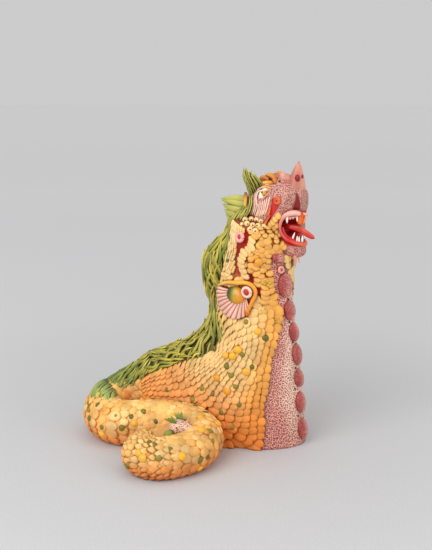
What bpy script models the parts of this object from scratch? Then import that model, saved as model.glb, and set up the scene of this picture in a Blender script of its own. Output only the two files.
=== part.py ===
"""A ceramic two-headed beast, built as one fired piece.

A scaly neck stands upright on its own flat cut. Behind it the body runs out
low, turns over itself and comes back as a coil lying on the same floor, and
the tip of the tail lifts out of the coil as a second, small head. A mane of
rolled leaf-like locks follows the spine.

Everything is worked out about the foot of the neck, at the floor, and moved
at the end so that the origin is the middle of the footprint. Metres, +Z up.
"""

import bpy
import bmesh
import numpy as np
from mathutils import Matrix
from math import cos, pi, radians, sin, tau

# ---------------------------------------------------------------- dimensions
# Sculpture as a whole.
FOOTPRINT_CENTRE = (-0.1273, -0.0231)   # middle of the outline, from the neck's foot
NODE_NAME = "beast"
UPRIGHT = (0, 0, 1)

# Neck and body: front point, back point, heading and half width of each
# section. The heading is the way the belly faces, turned from +X to -Y.
BODY_SECTIONS = (
    ((0.043, -0.021, 0.374), (-0.057, 0.008, 0.424), 18, 0.045),
    ((0.048, -0.020, 0.345), (-0.074, 0.014, 0.362), 17, 0.051),
    ((0.050, -0.020, 0.285), (-0.080, 0.018, 0.300), 16, 0.056),
    ((0.058, -0.020, 0.215), (-0.086, 0.022, 0.242), 16, 0.061),
    ((0.067, -0.020, 0.145), (-0.106, 0.030, 0.202), 17, 0.065),
    ((0.074, -0.018, 0.075), (-0.132, 0.040, 0.180), 18, 0.068),
    ((0.079, -0.016, 0.000), (-0.152, 0.050, 0.168), 19, 0.071),
    ((0.070, -0.010, -0.070), (-0.172, 0.060, 0.156), 20, 0.073),
    ((-0.010, 0.010, -0.080), (-0.190, 0.070, 0.147), 20, 0.072),
    ((-0.090, 0.046, -0.050), (-0.208, 0.082, 0.138), 18, 0.068),
    ((-0.150, 0.074, -0.020), (-0.228, 0.090, 0.126), 12, 0.062),
    ((-0.204, 0.090, -0.008), (-0.246, 0.093, 0.112), 2, 0.056),
)

# Coil: two round turns joined by straight runs. Radius is the tube's own.
OUTER_TURN_CENTRE = (-0.242, 0.036)
OUTER_TURN_RADIUS = 0.057
RIGHT_TURN_CENTRE = (-0.186, -0.089)
RIGHT_TURN_RADIUS = 0.073
INNER_WEB_CENTRE = (-0.176, -0.112)
COIL_SINK = 0.002                       # how far the round tube sinks in the floor

# Scales, as raised points in alternating rows.
NECK_COLUMNS = 36
COIL_COLUMNS = 20
ROW_STEP = 0.0163
COIL_ROW_STEP = 0.0195
SCALE_RELIEF = 0.0030
COIL_RELIEF = 0.0012
DOME_TURNS = (66, 44, 22)               # degrees up the dome, crown first
DOME_RELIEF = 0.05                      # share that a raised point stands out
NECK_DOME = 0.046                       # height of the dome under the head
SCALE_LEAN = 0.55                       # share of a column that a tip leans over

# Mane.
LOCK_WIDTH = 0.0055
LOCK_RELIEF = 0.0065
LOCK_LEAN = 0.42                        # how far a lock's tip leans toward the head, in sections
MANE_END = 12.4
CREST_LOCKS = 14

# Head, in its own axes: ahead, to its right and up from HEAD_ORIGIN.
HEAD_ORIGIN = np.array((0.018, -0.006, 0.447))
HEAD_TURN = radians(30)                 # toward -Y, from +X
SKULL_SECTIONS = (                      # ahead, underside, top, half width
    (-0.056, -0.034, 0.008, 0.020),
    (-0.038, -0.056, 0.034, 0.033),
    (-0.012, -0.064, 0.052, 0.038),
    (0.012, -0.062, 0.057, 0.035),
    (0.024, -0.050, 0.053, 0.032),
    (0.033, -0.019, 0.046, 0.029),
    (0.046, -0.008, 0.038, 0.024),
    (0.058, -0.009, 0.030, 0.016),
)
THROAT_SECTIONS = (
    (-0.004, -0.074, -0.004, 0.026),
    (0.018, -0.073, -0.006, 0.028),
    (0.027, -0.067, -0.010, 0.023),
)
JAW_SECTIONS = (
    (0.004, -0.090, -0.044, 0.024),
    (0.026, -0.089, -0.049, 0.026),
    (0.036, -0.090, -0.059, 0.023),
    (0.050, -0.091, -0.066, 0.017),
    (0.059, -0.086, -0.068, 0.009),
)
TONGUE_PATH = ((0.014, 0, -0.034), (0.040, 0, -0.032), (0.062, 0, -0.041), (0.081, 0, -0.054))
TONGUE_RADII = (0.012, 0.0135, 0.0095, 0)
TONGUE_FLATNESS = 0.52
HORN_PATH = ((0.042, 0, 0.022), (0.044, 0, 0.044), (0.0465, 0, 0.062), (0.048, 0, 0.079))
HORN_RADII = (0.0175, 0.0120, 0.0060, 0)
CROWN_BUMP_PATH = ((0.018, 0, 0.040), (0.017, 0, 0.054), (0.013, 0, 0.063))
BEARD_PATH = ((0.047, 0.004, -0.080), (0.048, 0.005, -0.096), (0.048, 0.005, -0.111))
LIP_PATH = ((0.056, 0.012, -0.010), (0.047, 0.022, -0.010), (0.034, 0.028, -0.016), (0.025, 0.030, -0.028),
            (0.023, 0.030, -0.041), (0.028, 0.028, -0.053), (0.040, 0.023, -0.063), (0.055, 0.012, -0.069))
LIP_RADIUS = 0.0048
FAR_CHEEK_PATH = ((0.034, -0.022, -0.004), (0.037, -0.022, -0.036), (0.036, -0.020, -0.072))
LID_PATH = ((-0.012, 0.031, 0.033), (-0.003, 0.031, 0.038), (0.009, 0.030, 0.038), (0.020, 0.029, 0.031))
BROW_PATH = ((-0.016, 0.018, 0.045), (-0.005, 0.018, 0.051), (0.007, 0.018, 0.053), (0.018, 0.019, 0.046))
EYE_PATH = ((-0.018, 0.030, 0.006), (-0.010, 0.033, 0.018), (-0.001, 0.031, 0.028))
CHEEK_DISC_PATH = ((0.023, 0.024, 0.009), (0.023, 0.037, 0.009))
FLUTE_STEP = 0.0095
BUBBLE_STEP = 0.011
FAR_EAR_SHARE = 0.72                    # the far side's ears are smaller
UPPER_TEETH = ((0.040, 0.022, 0.011), (0.052, 0.010, 0.008))       # ahead, off the middle, length
LOWER_TEETH = ((0.044, 0.014, 0.009), (0.052, 0.009, 0.006), (0.055, 0.003, 0.008))
TOOTH_RADIUS = 0.0032

# Ornament.
CREVICE_TOP = 0.02                      # sections along the neck
CREVICE_END = 1.5
CREVICE_ANGLE = 256                     # degrees round the skin
CREVICE_SWING = 5
CREVICE_WIDTH = 9
CREVICE_DEPTH = 0.010
NODULE_PLACE = (0.45, radians(248))     # the ringed bud beside the groove
SCUTES = 9
SCUTE_SPAN = (0.55, 5.75)               # first and last, in sections along the belly
SCUTE_HALF_WIDTH = 0.012
SCUTE_HALF_HEIGHT = 0.016
SCUTE_RELIEF = 0.0055
FAN_HUB = (1.92, radians(264))          # place on the skin: along, round
FAN_RIBS = 9
FAN_REACH = 0.047
FAN_START = radians(-35)
FAN_SWEEP = radians(170)
RIM_START = radians(-62)
RIM_SWEEP = radians(-165)
SMALL_ROOT = np.array((-0.163, -0.092, 0.061))      # the tail tip's own head
SMALL_NOSE = np.array((-0.129, -0.116, 0.066))
SMALL_SECTIONS = (                      # share of the way to the nose, half width, half height
    (-0.25, 0.015, 0.014),
    (0.10, 0.020, 0.018),
    (0.45, 0.017, 0.014),
    (0.75, 0.014, 0.012),
    (1.00, 0.010, 0.008),
)


# ------------------------------------------------------------------- helpers
def spline(keys, u):
    """Points of a smooth curve through the rows of keys, at parameters u."""
    keys = np.asarray(keys, float)
    ends = np.vstack((2 * keys[0] - keys[1], keys, 2 * keys[-1] - keys[-2]))
    u = np.clip(np.asarray(u, float), 0, len(keys) - 1)
    i = np.minimum(u.astype(int), len(keys) - 2)
    t = (u - i)[..., None]
    a, b, c, d = ends[i], ends[i + 1], ends[i + 2], ends[i + 3]
    cubic = 2 * b + (c - a) * t + (2 * a - 5 * b + 4 * c - d) * t * t
    return 0.5 * (cubic + (3 * b - a - 3 * c + d) * t ** 3)


def unit(v):
    """The vector, or each row of vectors, at length one."""
    v = np.asarray(v, float)
    return v / np.linalg.norm(v, axis=-1, keepdims=True)


def coil_keys():
    """Centre and radius of the coil at each key, from the body to the tail's tip."""
    keys = []
    for turn, radius in ((125, 0.0485), (155, 0.0455), (185, 0.043), (215, 0.0415), (245, 0.040)):
        a = radians(turn)
        x = OUTER_TURN_CENTRE[0] + OUTER_TURN_RADIUS * cos(a)
        y = OUTER_TURN_CENTRE[1] + OUTER_TURN_RADIUS * sin(a)
        keys.append((x, y, radius - COIL_SINK, radius))
    keys.append((-0.233, -0.014, 0.038, 0.040))
    for turn, radius in ((90, 0.041), (50, 0.0405), (10, 0.038), (-30, 0.0355), (-68, 0.035), (-96, 0.034)):
        a = radians(turn)
        x = RIGHT_TURN_CENTRE[0] + RIGHT_TURN_RADIUS * cos(a)
        y = RIGHT_TURN_CENTRE[1] + RIGHT_TURN_RADIUS * sin(a)
        keys.append((x, y, radius - COIL_SINK, radius))
    # The tail turns into the groove between the two runs, and its tip lifts out.
    keys += [
        (-0.214, -0.149, 0.031, 0.033),
        (-0.219, -0.121, 0.030, 0.028),
        (-0.205, -0.097, 0.029, 0.025),
        (-0.183, -0.090, 0.035, 0.023),
        (-0.166, -0.090, 0.047, 0.020),
        (-0.154, -0.096, 0.054, 0.015),
    ]
    return keys


def all_sections():
    """Rows of front, back, side vector: the body's sections, then the coil's."""
    rows = []
    for front, back, heading, half in BODY_SECTIONS:
        a = radians(heading)
        rows.append((*front, *back, half * sin(a), half * cos(a), 0.0))
    keys = np.array(coil_keys())
    last_body = (np.array(BODY_SECTIONS[-1][0]) + np.array(BODY_SECTIONS[-1][1])) / 2
    centres = np.vstack((last_body, keys[:, :3], 2 * keys[-1, :3] - keys[-2, :3]))
    for k, (x, y, z, radius) in enumerate(keys):
        along = unit(centres[k + 2] - centres[k])
        side = unit((along[1], -along[0], 0.0))
        rise = np.cross(side, along)
        centre = np.array((x, y, z))
        rows.append((*(centre - rise * radius), *(centre + rise * radius), *(side * radius)))
    return np.array(rows)


SECTIONS = all_sections()
BODY_END = len(BODY_SECTIONS) - 1


def squeeze(u, angle):
    """Share of the half width on the inside of each turn, so that it never folds."""
    outer_turn = np.interp(u, (10.0, 11.6, 12.6, 15.0, 16.4), (1.0, 0.77, 0.77, 0.86, 1.0))
    tail_turn = np.interp(u, (21.2, 22.8, 24.0, 25.0, 26.0), (1.0, 0.78, 0.78, 0.85, 1.0))
    return np.where(np.sin(angle) < 0, outer_turn, tail_turn)


def skin(u, angle, lift=0.0):
    """Point on the skin: u along the beast, angle round it (0 belly, pi spine)."""
    row = spline(SECTIONS, u)
    front, back = row[..., :3], row[..., 3:6]
    side = row[..., 6:9] * squeeze(u, angle)[..., None]
    half = (front - back) / 2
    c = np.cos(angle)[..., None]
    s = np.sin(angle)[..., None]
    half_len = np.linalg.norm(half, axis=-1, keepdims=True)
    side_len = np.linalg.norm(side, axis=-1, keepdims=True)
    out = unit(half / half_len ** 2 * c + side / side_len ** 2 * s)
    return (front + back) / 2 + half * c + side * s + out * np.asarray(lift)[..., None]


def mesh_object(name, verts, faces):
    """A closed mesh object with its faces pointing out."""
    mesh = bpy.data.meshes.new(name)
    mesh.from_pydata([tuple(map(float, v)) for v in verts], [], faces)
    bm = bmesh.new()
    bm.from_mesh(mesh)
    bmesh.ops.recalc_face_normals(bm, faces=bm.faces)
    bm.to_mesh(mesh)
    bm.free()
    obj = bpy.data.objects.new(name, mesh)
    bpy.context.scene.collection.objects.link(obj)
    return obj


def strip(first, second, n, m):
    """Triangles between a ring of n vertices at first and one of m at second."""
    faces = []
    i = j = 0
    while i < n or j < m:
        a, b = first + i % n, second + j % m
        if j >= m or (i < n and (i + 1) / n <= (j + 1) / m):
            faces.append((a, first + (i + 1) % n, b))
            i += 1
        else:
            faces.append((a, second + (j + 1) % m, b))
            j += 1
    return faces


def loft(name, rings):
    """A closed solid through rings of points; a ring of one point is a tip."""
    verts = [p for ring in rings for p in ring]
    starts = np.cumsum([0] + [len(ring) for ring in rings])
    faces = []
    for k in range(len(rings) - 1):
        n, m = len(rings[k]), len(rings[k + 1])
        if n == 1 or m == 1:
            tip, ring, count = (starts[k], starts[k + 1], m) if n == 1 else (starts[k + 1], starts[k], n)
            faces += [(ring + j, ring + (j + 1) % count, tip) for j in range(count)]
        else:
            faces += strip(starts[k], starts[k + 1], n, m)
    for k in (0, len(rings) - 1):
        if len(rings[k]) > 1:
            faces.append(tuple(range(starts[k], starts[k] + len(rings[k]))))
    return mesh_object(name, verts, [tuple(map(int, f)) for f in faces])


def tube(name, path, radii, sides, flat=1.0, up=UPRIGHT):
    """A tapering rod along a path; a radius of zero makes a tip."""
    path = np.asarray(path, float)
    rings = []
    for k, radius in enumerate(radii):
        along = unit(path[min(k + 1, len(path) - 1)] - path[max(k - 1, 0)])
        across = unit(np.cross(along, up))
        over = np.cross(across, along)
        if radius == 0:
            rings.append([path[k]])
            continue
        turns = np.arange(sides) / sides * tau + pi / 2
        rings.append([path[k] + radius * (across * cos(t) + flat * over * sin(t)) for t in turns])
    return loft(name, rings)


# ---------------------------------------------------------------------- mane
def skin_path(start, end, bulge, steps):
    """Points from start to end, each (u, angle, lift), swelling out by bulge."""
    start, end = np.array(start, float), np.array(end, float)
    points = []
    for t in steps:
        u, angle, lift = start + (end - start) * t
        points.append(skin(np.array(u), np.array(angle), np.array(lift + bulge * sin(pi * t))))
    return points


def mane_height(u):
    """How far the mane stands off the spine."""
    return float(np.interp(u, (0.0, 0.5, 0.9, 1.25, 1.6, 2.0, 2.4, 2.6, 3.2, 4.2, 7.0, 10.0, 12.4),
                           (0.002, 0.006, 0.022, 0.031, 0.033, 0.031, 0.022, 0.014, 0.010, 0.012, 0.012,
                            0.010, 0.002)))


def mane_edge(u):
    """How far round from the spine the mane reaches on the right flank, in degrees."""
    return float(np.interp(u, (0.0, 1.2, 2.0, 3.4, 4.3, 6.0, 8.0, 10.5, 12.4),
                           (42, 34, 30, 62, 62, 44, 38, 46, 30)))


def off_spine(angle):
    """Degrees round from the spine, positive on the right flank."""
    return (np.degrees(angle) % 360) - 180


def mane_share(u, angle):
    """1 on the spine, falling to 0 at the mane's edge and beyond."""
    off = off_spine(angle)
    edge = mane_edge(u) if off > 0 else 0.85 * mane_edge(u)
    return max(0.0, 1 - (abs(off) / edge) ** 2)


def crest_locks():
    """Longer locks along the spine, which stand clear of the rest."""
    parts = []
    for k in range(CREST_LOCKS):
        t = k / (CREST_LOCKS - 1)
        u = 1.55 + 10.4 * t ** 1.15
        reach = 0.75 if u < 4 else 1.1
        off = radians(9 if k % 2 else -6)
        high = mane_height(u - reach)
        start = (u + 0.15, pi + off, 0.6 * mane_height(u))
        end = (u - reach, pi + off * 0.5, high + 0.008)
        path = skin_path(start, end, 0.003, (0, 0.5, 1))
        parts.append(tube(f"crest_{k}", path, (LOCK_WIDTH, LOCK_WIDTH * 0.85, 0), 4))
    return parts


# ---------------------------------------------------------------------- body
def crevice(u, angle):
    """Depth of the torn groove down the right side of the neck."""
    if not CREVICE_TOP < u < CREVICE_END or sin(angle) > 0:
        return 0.0
    swing = CREVICE_SWING * sin(tau * (u - CREVICE_TOP) / (CREVICE_END - CREVICE_TOP))
    off = (np.degrees(angle) % 360 - CREVICE_ANGLE - swing) / CREVICE_WIDTH
    return CREVICE_DEPTH * max(0.0, 1 - off * off)


def scale_lift(u, angle):
    """How high a scale's tip stands at a place on the skin."""
    if u > BODY_END:
        return COIL_RELIEF
    from_belly = 180 - abs(off_spine(angle))
    edge = 52 if u > 3 else 40
    return SCALE_RELIEF if from_belly > edge else 0.0


def row_places(start, end, step):
    """Parameters u from start to end, a step of length apart along the middle."""
    fine = np.linspace(start, end, 600)
    row = spline(SECTIONS, fine)
    middle = (row[:, :3] + row[:, 3:6]) / 2
    run = np.concatenate(([0], np.cumsum(np.linalg.norm(np.diff(middle, axis=0), axis=1))))
    count = max(2, round(run[-1] / step))
    return np.interp(np.linspace(0, run[-1], count + 1), run, fine)


def dome_rings(top):
    """Rings that close the neck's top under the head, from the crown down."""
    middle = top.mean(axis=0)
    rise = unit(np.cross(top[0] - middle, top[NECK_COLUMNS // 4] - middle))
    rings = []
    for i, turn in enumerate(DOME_TURNS):
        raised = 1 + DOME_RELIEF * ((np.arange(NECK_COLUMNS) + i) % 2 == 0)
        spread = (top - middle) * cos(radians(turn)) * raised[:, None]
        rings.append(middle + spread + rise * NECK_DOME * sin(radians(turn)))
    return rings


def skin_ring(i, u, columns):
    """Points round the skin at u; every other one is the tip of a scale or lock."""
    ring = []
    for j in range(columns):
        angle = tau * j / columns
        share = mane_share(u, angle) if u < MANE_END else 0.0
        place, lift = u, share * mane_height(u)
        raised = (i + j) % 2 == 0
        torn = crevice(u, angle)
        if torn > 0:
            lift = -torn
        elif raised and share > 0.02:
            lift += LOCK_RELIEF
            place = max(u - LOCK_LEAN * (1.0 if u > 4 else 0.6), 0.0)
        elif raised:
            lift = scale_lift(u, angle)
            toward_belly = 1 if sin(angle) < 0 else -1
            angle += toward_belly * SCALE_LEAN * tau / columns * (lift > 0)
        ring.append(skin(np.array(place), np.array(angle), np.array(lift)))
    return ring


def diamonds(first, second, n, odd):
    """Triangles between two equal rings, so that each raised point tops a diamond."""
    faces = []
    for j in range(n):
        k = (j + 1) % n
        a, b, c, d = first + j, first + k, second + k, second + j
        faces += [(a, b, d), (b, c, d)] if (j + odd) % 2 == 0 else [(a, b, c), (a, c, d)]
    return faces


def body_skin():
    """Neck, body and coil as one tube, with a raised tip for each scale."""
    neck = row_places(0, BODY_END, ROW_STEP)
    coil = row_places(BODY_END, len(SECTIONS) - 1, COIL_ROW_STEP)[1:]
    turns = np.arange(NECK_COLUMNS) / NECK_COLUMNS * tau
    rings = dome_rings(skin(np.zeros(NECK_COLUMNS), turns, np.zeros(NECK_COLUMNS)))
    for u in neck:
        rings.append(skin_ring(len(rings), u, NECK_COLUMNS))
    for u in coil[:-1]:
        rings.append(skin_ring(len(rings), u, COIL_COLUMNS))
    last = np.arange(COIL_COLUMNS) / COIL_COLUMNS * tau
    rings.append(skin(np.full(COIL_COLUMNS, coil[-1]), last, np.zeros(COIL_COLUMNS)))

    starts = np.cumsum([0] + [len(ring) for ring in rings])
    faces = [tuple(range(NECK_COLUMNS)), tuple(range(starts[-2], starts[-1]))]
    for i in range(len(rings) - 1):
        n, m = len(rings[i]), len(rings[i + 1])
        if n == m:
            faces += diamonds(starts[i], starts[i + 1], n, i)
        else:
            faces += strip(starts[i], starts[i + 1], n, m)
    verts = [p for ring in rings for p in ring]
    return mesh_object(NODE_NAME, verts, [tuple(map(int, f)) for f in faces])


# ---------------------------------------------------------------------- head
def head(ahead, right, rise):
    """A point of the head's own axes, in the beast's frame."""
    forward = np.array((cos(HEAD_TURN), -sin(HEAD_TURN), 0))
    across = np.array((-sin(HEAD_TURN), -cos(HEAD_TURN), 0))
    return HEAD_ORIGIN + forward * ahead + across * right + np.array((0, 0, rise))


def oval_ring(ahead, low, high, half, sides, square=0.8):
    """A ring across the head between two heights, a little squared."""
    ring = []
    for k in range(sides):
        a = tau * (k + 0.5) / sides
        x = np.sign(cos(a)) * abs(cos(a)) ** square
        z = np.sign(sin(a)) * abs(sin(a)) ** square
        ring.append(head(ahead, half * x, (low + high) / 2 + (high - low) / 2 * z))
    return ring


def skull():
    """The upper head, from the nape to the muzzle."""
    return loft("skull", [oval_ring(*section, 10) for section in SKULL_SECTIONS])


def throat():
    """The solid cheeks that close the back of the mouth."""
    return loft("throat", [oval_ring(*section, 8, 0.45) for section in THROAT_SECTIONS])


def jaw():
    """The lower jaw and chin."""
    return loft("jaw", [oval_ring(*section, 8) for section in JAW_SECTIONS])


def cone(name, points, radii, sides):
    """A horn, tooth or drip along points of the head's axes."""
    path = [head(*p) for p in points]
    return tube(name, path, radii, sides, up=(0.3, 0.8, 0.1))


def leaf(name, root, tip, spread, width, thick, droop=0.0):
    """A pointed leaf from root to tip, ridged along its middle."""
    root, tip, spread = (np.asarray(v, float) for v in (root, tip, spread))
    along = tip - root
    spread = unit(spread - along * np.dot(spread, along) / np.dot(along, along))
    over = unit(np.cross(along, spread))
    rings = []
    for t, w in ((0, 0.45), (0.3, 1.0), (0.65, 0.75), (1, 0)):
        middle = root + along * t + over * droop * sin(pi * t)
        if w == 0:
            rings.append([middle])
            continue
        half = spread * width / 2 * w
        rise = over * thick / 2
        rings.append([middle - half, middle - half * 0.5 + rise * 0.5, middle + rise,
                      middle + half * 0.5 + rise * 0.5, middle + half, middle - rise])
    return loft(name, rings)


def ears(at, tag, reach):
    """An upright ear and a broad one laid back behind it."""
    ahead = at(0.1, 0, 0) - at(0, 0, 0)
    droop = 0.004 if tag == "near" else -0.004
    return [
        leaf(f"ear_{tag}", at(-0.020, 0.030, 0.010), at(-0.042, 0.034, 0.010 + 0.054 * reach),
             ahead, 0.034, 0.014, droop),
        leaf(f"back_ear_{tag}", at(-0.036, 0.033, -0.012), at(-0.036 - 0.060 * reach, 0.030, 0.011),
             UPRIGHT, 0.042, 0.014, -droop),
    ]


def cheek(at, tag, outward):
    """Standing flutes below the eye, over a cluster of round buds."""
    parts = []
    for k in range(4 if tag == "near" else 2):
        ahead = -0.026 + FLUTE_STEP * k
        flute = [at(ahead + 0.004, 0.033, 0.006), at(ahead, 0.041, -0.009), at(ahead - 0.002, 0.049, -0.025)]
        parts.append(tube(f"flute_{tag}_{k}", flute, (0.0035, 0.0055, 0.0045), 6, up=outward))
    for k in range(6 if tag == "near" else 0):
        row, column = divmod(k, 3)
        centre = at(-0.018 + BUBBLE_STEP * (column + 0.45 * row), 0.056, -0.032 - BUBBLE_STEP * row)
        base = at(-0.014 + 0.8 * BUBBLE_STEP * column, 0.030, -0.036)
        parts.append(tube(f"bubble_{tag}_{k}", [base, centre, centre + (centre - base) * 0.16],
                          (0.0065, 0.0068, 0.003), 6, up=UPRIGHT))
    return parts


def face_side(side):
    """Ears, eye, brow, cheek and lip of one side of the head."""
    tag = "near" if side > 0 else "far"

    def at(ahead, right, rise):
        return head(ahead, side * right, rise)

    def along(path):
        return [at(*point) for point in path]

    outward = at(0, 1, 0) - at(0, 0, 0)
    parts = ears(at, tag, 1.0 if side > 0 else FAR_EAR_SHARE) + cheek(at, tag, outward)
    parts.append(tube(f"lid_{tag}", along(LID_PATH), (0.004, 0.0055, 0.0055, 0.004), 5))
    parts.append(tube(f"brow_{tag}", along(BROW_PATH), (0.004, 0.0065, 0.0065, 0.004), 5))
    parts.append(tube(f"eye_{tag}", along(EYE_PATH), (0.004, 0.008, 0.004), 6))
    parts.append(tube(f"cheek_disc_{tag}", along(CHEEK_DISC_PATH), (0.008, 0.0065), 8, up=UPRIGHT))
    lip = along(LIP_PATH if side > 0 else LIP_PATH[::2] + LIP_PATH[-1:])
    radii = (0.7 * LIP_RADIUS,) + (LIP_RADIUS,) * (len(lip) - 2) + (0.7 * LIP_RADIUS,)
    parts.append(tube(f"lip_{tag}", lip, radii, 5 if side > 0 else 4, up=outward))
    return parts


def teeth():
    """Two rows of pointed teeth: fangs near the corners, smaller ones between."""
    parts = []
    for side in (-1, 1):
        for k, (ahead, right, long) in enumerate(UPPER_TEETH):
            path = ((ahead, side * right, -0.006), (ahead + 0.002, side * right, -0.012 - long))
            parts.append(cone(f"upper_tooth_{k}_{side}", path, (TOOTH_RADIUS, 0), 4))
        for k, (ahead, right, long) in enumerate(LOWER_TEETH):
            path = ((ahead, side * right, -0.070), (ahead + 0.001, side * right, -0.062 + long))
            parts.append(cone(f"lower_tooth_{k}_{side}", path, (TOOTH_RADIUS, 0), 4))
    return parts


def head_parts():
    """The great head, with everything that is set on it."""
    parts = [skull(), throat(), jaw()]
    parts.append(cone("horn", HORN_PATH, HORN_RADII, 8))
    parts.append(cone("crown_bump", CROWN_BUMP_PATH, (0.010, 0.006, 0), 6))
    parts.append(cone("beard", BEARD_PATH, (0.0045, 0.0035, 0.0012), 5))
    tongue = [head(*p) for p in TONGUE_PATH]
    parts.append(tube("tongue", tongue, TONGUE_RADII, 8, flat=TONGUE_FLATNESS))
    far_cheek = [head(*p) for p in FAR_CHEEK_PATH]
    parts.append(tube("far_cheek", far_cheek, (0.010, 0.012, 0.010), 6, up=(0.8, 0.4, 0)))
    parts.append(leaf("lip_leaf", head(0.050, -0.015, -0.004), head(0.053, -0.012, -0.030),
                      (0.8, 0.2, 0), 0.012, 0.006))
    parts.append(leaf("cheek_ribbon", head(0.016, 0.034, -0.018), head(0.005, 0.050, -0.043),
                      (1, -0.3, 0), 0.013, 0.007))
    return parts + face_side(-1) + face_side(1) + teeth()


# ------------------------------------------------------------------ ornament
def turn_webs():
    """Clay that fills the inside of each turn, under a deep crease."""
    parts = []
    for name, (x, y), radius, top in (("outer_web", OUTER_TURN_CENTRE, 0.024, 0.048),
                                      ("inner_web", INNER_WEB_CENTRE, 0.036, 0.046)):
        rings = []
        for z, share in ((-0.01, 1.0), (0.6 * top, 0.95), (top, 0.45)):
            rings.append([(x + radius * share * cos(a), y + radius * share * sin(a), z)
                          for a in np.arange(8) / 8 * tau])
        parts.append(loft(name, rings))
    return parts


def scutes():
    """Rounded plates down the middle of the belly."""
    parts = []
    first, last = SCUTE_SPAN
    for k in range(SCUTES):
        u = first + k * (last - first) / (SCUTES - 1)
        swing = radians(-14 if k < 3 else -4)

        def place(du, lift):
            return skin(np.array(u + du), np.array(swing), np.array(lift))

        middle = place(0, 0)
        ahead = unit(place(0, 0.01) - middle)
        along = unit(place(0.1, 0) - place(-0.1, 0))
        across = np.cross(ahead, along)
        tall = SCUTE_HALF_HEIGHT * (1 + 0.075 * min(k, 4))
        rings = []
        for depth, size in ((-0.010, 0.9), (0.0015, 1.0), (SCUTE_RELIEF, 0.7)):
            rings.append([middle + ahead * depth
                          + size * (along * tall * cos(t) + across * SCUTE_HALF_WIDTH * sin(t))
                          for t in np.arange(7) / 7 * tau])
        parts.append(loft(f"scute_{k}", rings))
    return parts


def fan_place(radius, turn, lift):
    """A point of the fan's own polar axes, laid on the skin."""
    u = FAN_HUB[0] + radius * sin(turn) / 0.066
    angle = FAN_HUB[1] - radius * cos(turn) / 0.060
    return skin(np.array(u), np.array(angle), np.array(lift))


def fan_blade():
    """The ribbed fan itself: a closed strip, five points to a cross-section."""
    verts, faces = [], []
    steps = 2 * FAN_RIBS + 1
    for k in range(steps):
        turn = FAN_START + FAN_SWEEP * k / (steps - 1)
        ridge, reach = (0.0045, FAN_REACH) if k % 2 else (0.0015, FAN_REACH - 0.002)
        verts += [fan_place(0.006, turn, -0.008), fan_place(reach, turn, -0.008),
                  fan_place(reach, turn, 0.004 + ridge), fan_place(0.020, turn, 0.007 + ridge * 0.5),
                  fan_place(0.006, turn, 0.004)]
    for k in range(steps - 1):
        a, b = 5 * k, 5 * (k + 1)
        for j in range(5):
            n = (j + 1) % 5
            faces.append((a + j, a + n, b + n, b + j))
    faces += [tuple(range(5)), tuple(range(5 * (steps - 1), 5 * steps))]
    return mesh_object("fan", verts, faces)


def fan_ornament():
    """A ribbed fan with an eye at its hub, on the right flank of the neck."""
    rings = []
    for radius, lift in ((0.016, -0.006), (0.016, 0.006), (0.011, 0.0095), (0.006, 0.0065)):
        rings.append([fan_place(radius, tau * k / 10, lift) for k in range(10)])
    rim = [fan_place(0.020 + 0.0015 * k, RIM_START + RIM_SWEEP * k / 6, 0.006) for k in range(7)]
    outward = unit(fan_place(0.006, 0.0, 0.01) - fan_place(0.006, 0.0, 0.0))
    rim_radii = (0.002, 0.0035, 0.004, 0.004, 0.004, 0.0035, 0.002)
    return [fan_blade(), loft("fan_eye", rings), tube("fan_rim", rim, rim_radii, 4, up=outward)]


def nodule():
    """A ringed bud with a sunk middle, beside the groove in the neck."""
    rings = []
    u, angle = NODULE_PLACE
    for radius, lift in ((0.0075, -0.008), (0.0085, 0.005), (0.0055, 0.009), (0.003, 0.005)):
        rings.append([skin(np.array(u + radius * sin(a) / 0.045), np.array(angle + radius * cos(a) / 0.050),
                           np.array(lift)) for a in np.arange(8) / 8 * tau])
    return loft("nodule", rings)


def small_head():
    """The tail's tip: a blunt little snout with ears, looking out of the coil."""
    reach = SMALL_NOSE - SMALL_ROOT
    along = unit(reach)
    across = unit(np.cross(along, UPRIGHT))
    over = np.cross(across, along)

    def at(share, right, rise):
        return SMALL_ROOT + reach * share + across * right + over * rise

    rings = []
    for share, wide, tall in SMALL_SECTIONS:
        rings.append([at(share, wide * cos(a), tall * sin(a)) for a in np.arange(8) / 8 * tau])
    parts = [loft("small_skull", rings)]
    for side in (-1, 1):
        ear = at(0.30, 0.010 * side, 0.010)
        tip = ear + over * 0.016 - along * 0.008 + across * side * 0.006
        parts.append(leaf(f"small_ear_{side}", ear, tip, along, 0.010, 0.005))
        eye = [at(0.42, 0.014 * side, rise) for rise in (0.004, 0.014)]
        parts.append(tube(f"small_eye_{side}", eye, (0.004, 0.003), 6, up=along))
    lip = [at(0.76, 0.010, -0.004), at(1.05, 0, -0.004), at(0.76, -0.010, -0.004)]
    parts.append(tube("small_lip", lip, (0.003, 0.0035, 0.003), 5))
    return parts


# --------------------------------------------------------------------- build
def clear_scene():
    """Remove whatever the file opens with."""
    for obj in list(bpy.data.objects):
        bpy.data.objects.remove(obj, do_unlink=True)


def fuse(target, parts):
    """Join every part to the target in one exact union."""
    group = bpy.data.collections.new("fused_parts")
    bpy.context.scene.collection.children.link(group)
    for part in parts:
        bpy.context.scene.collection.objects.unlink(part)
        group.objects.link(part)
        part.hide_render = True
        part.display_type = "WIRE"
    union = target.modifiers.new("union", "BOOLEAN")
    union.operation = "UNION"
    union.operand_type = "COLLECTION"
    union.collection = group
    union.solver = "EXACT"
    union.use_self = True


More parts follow.
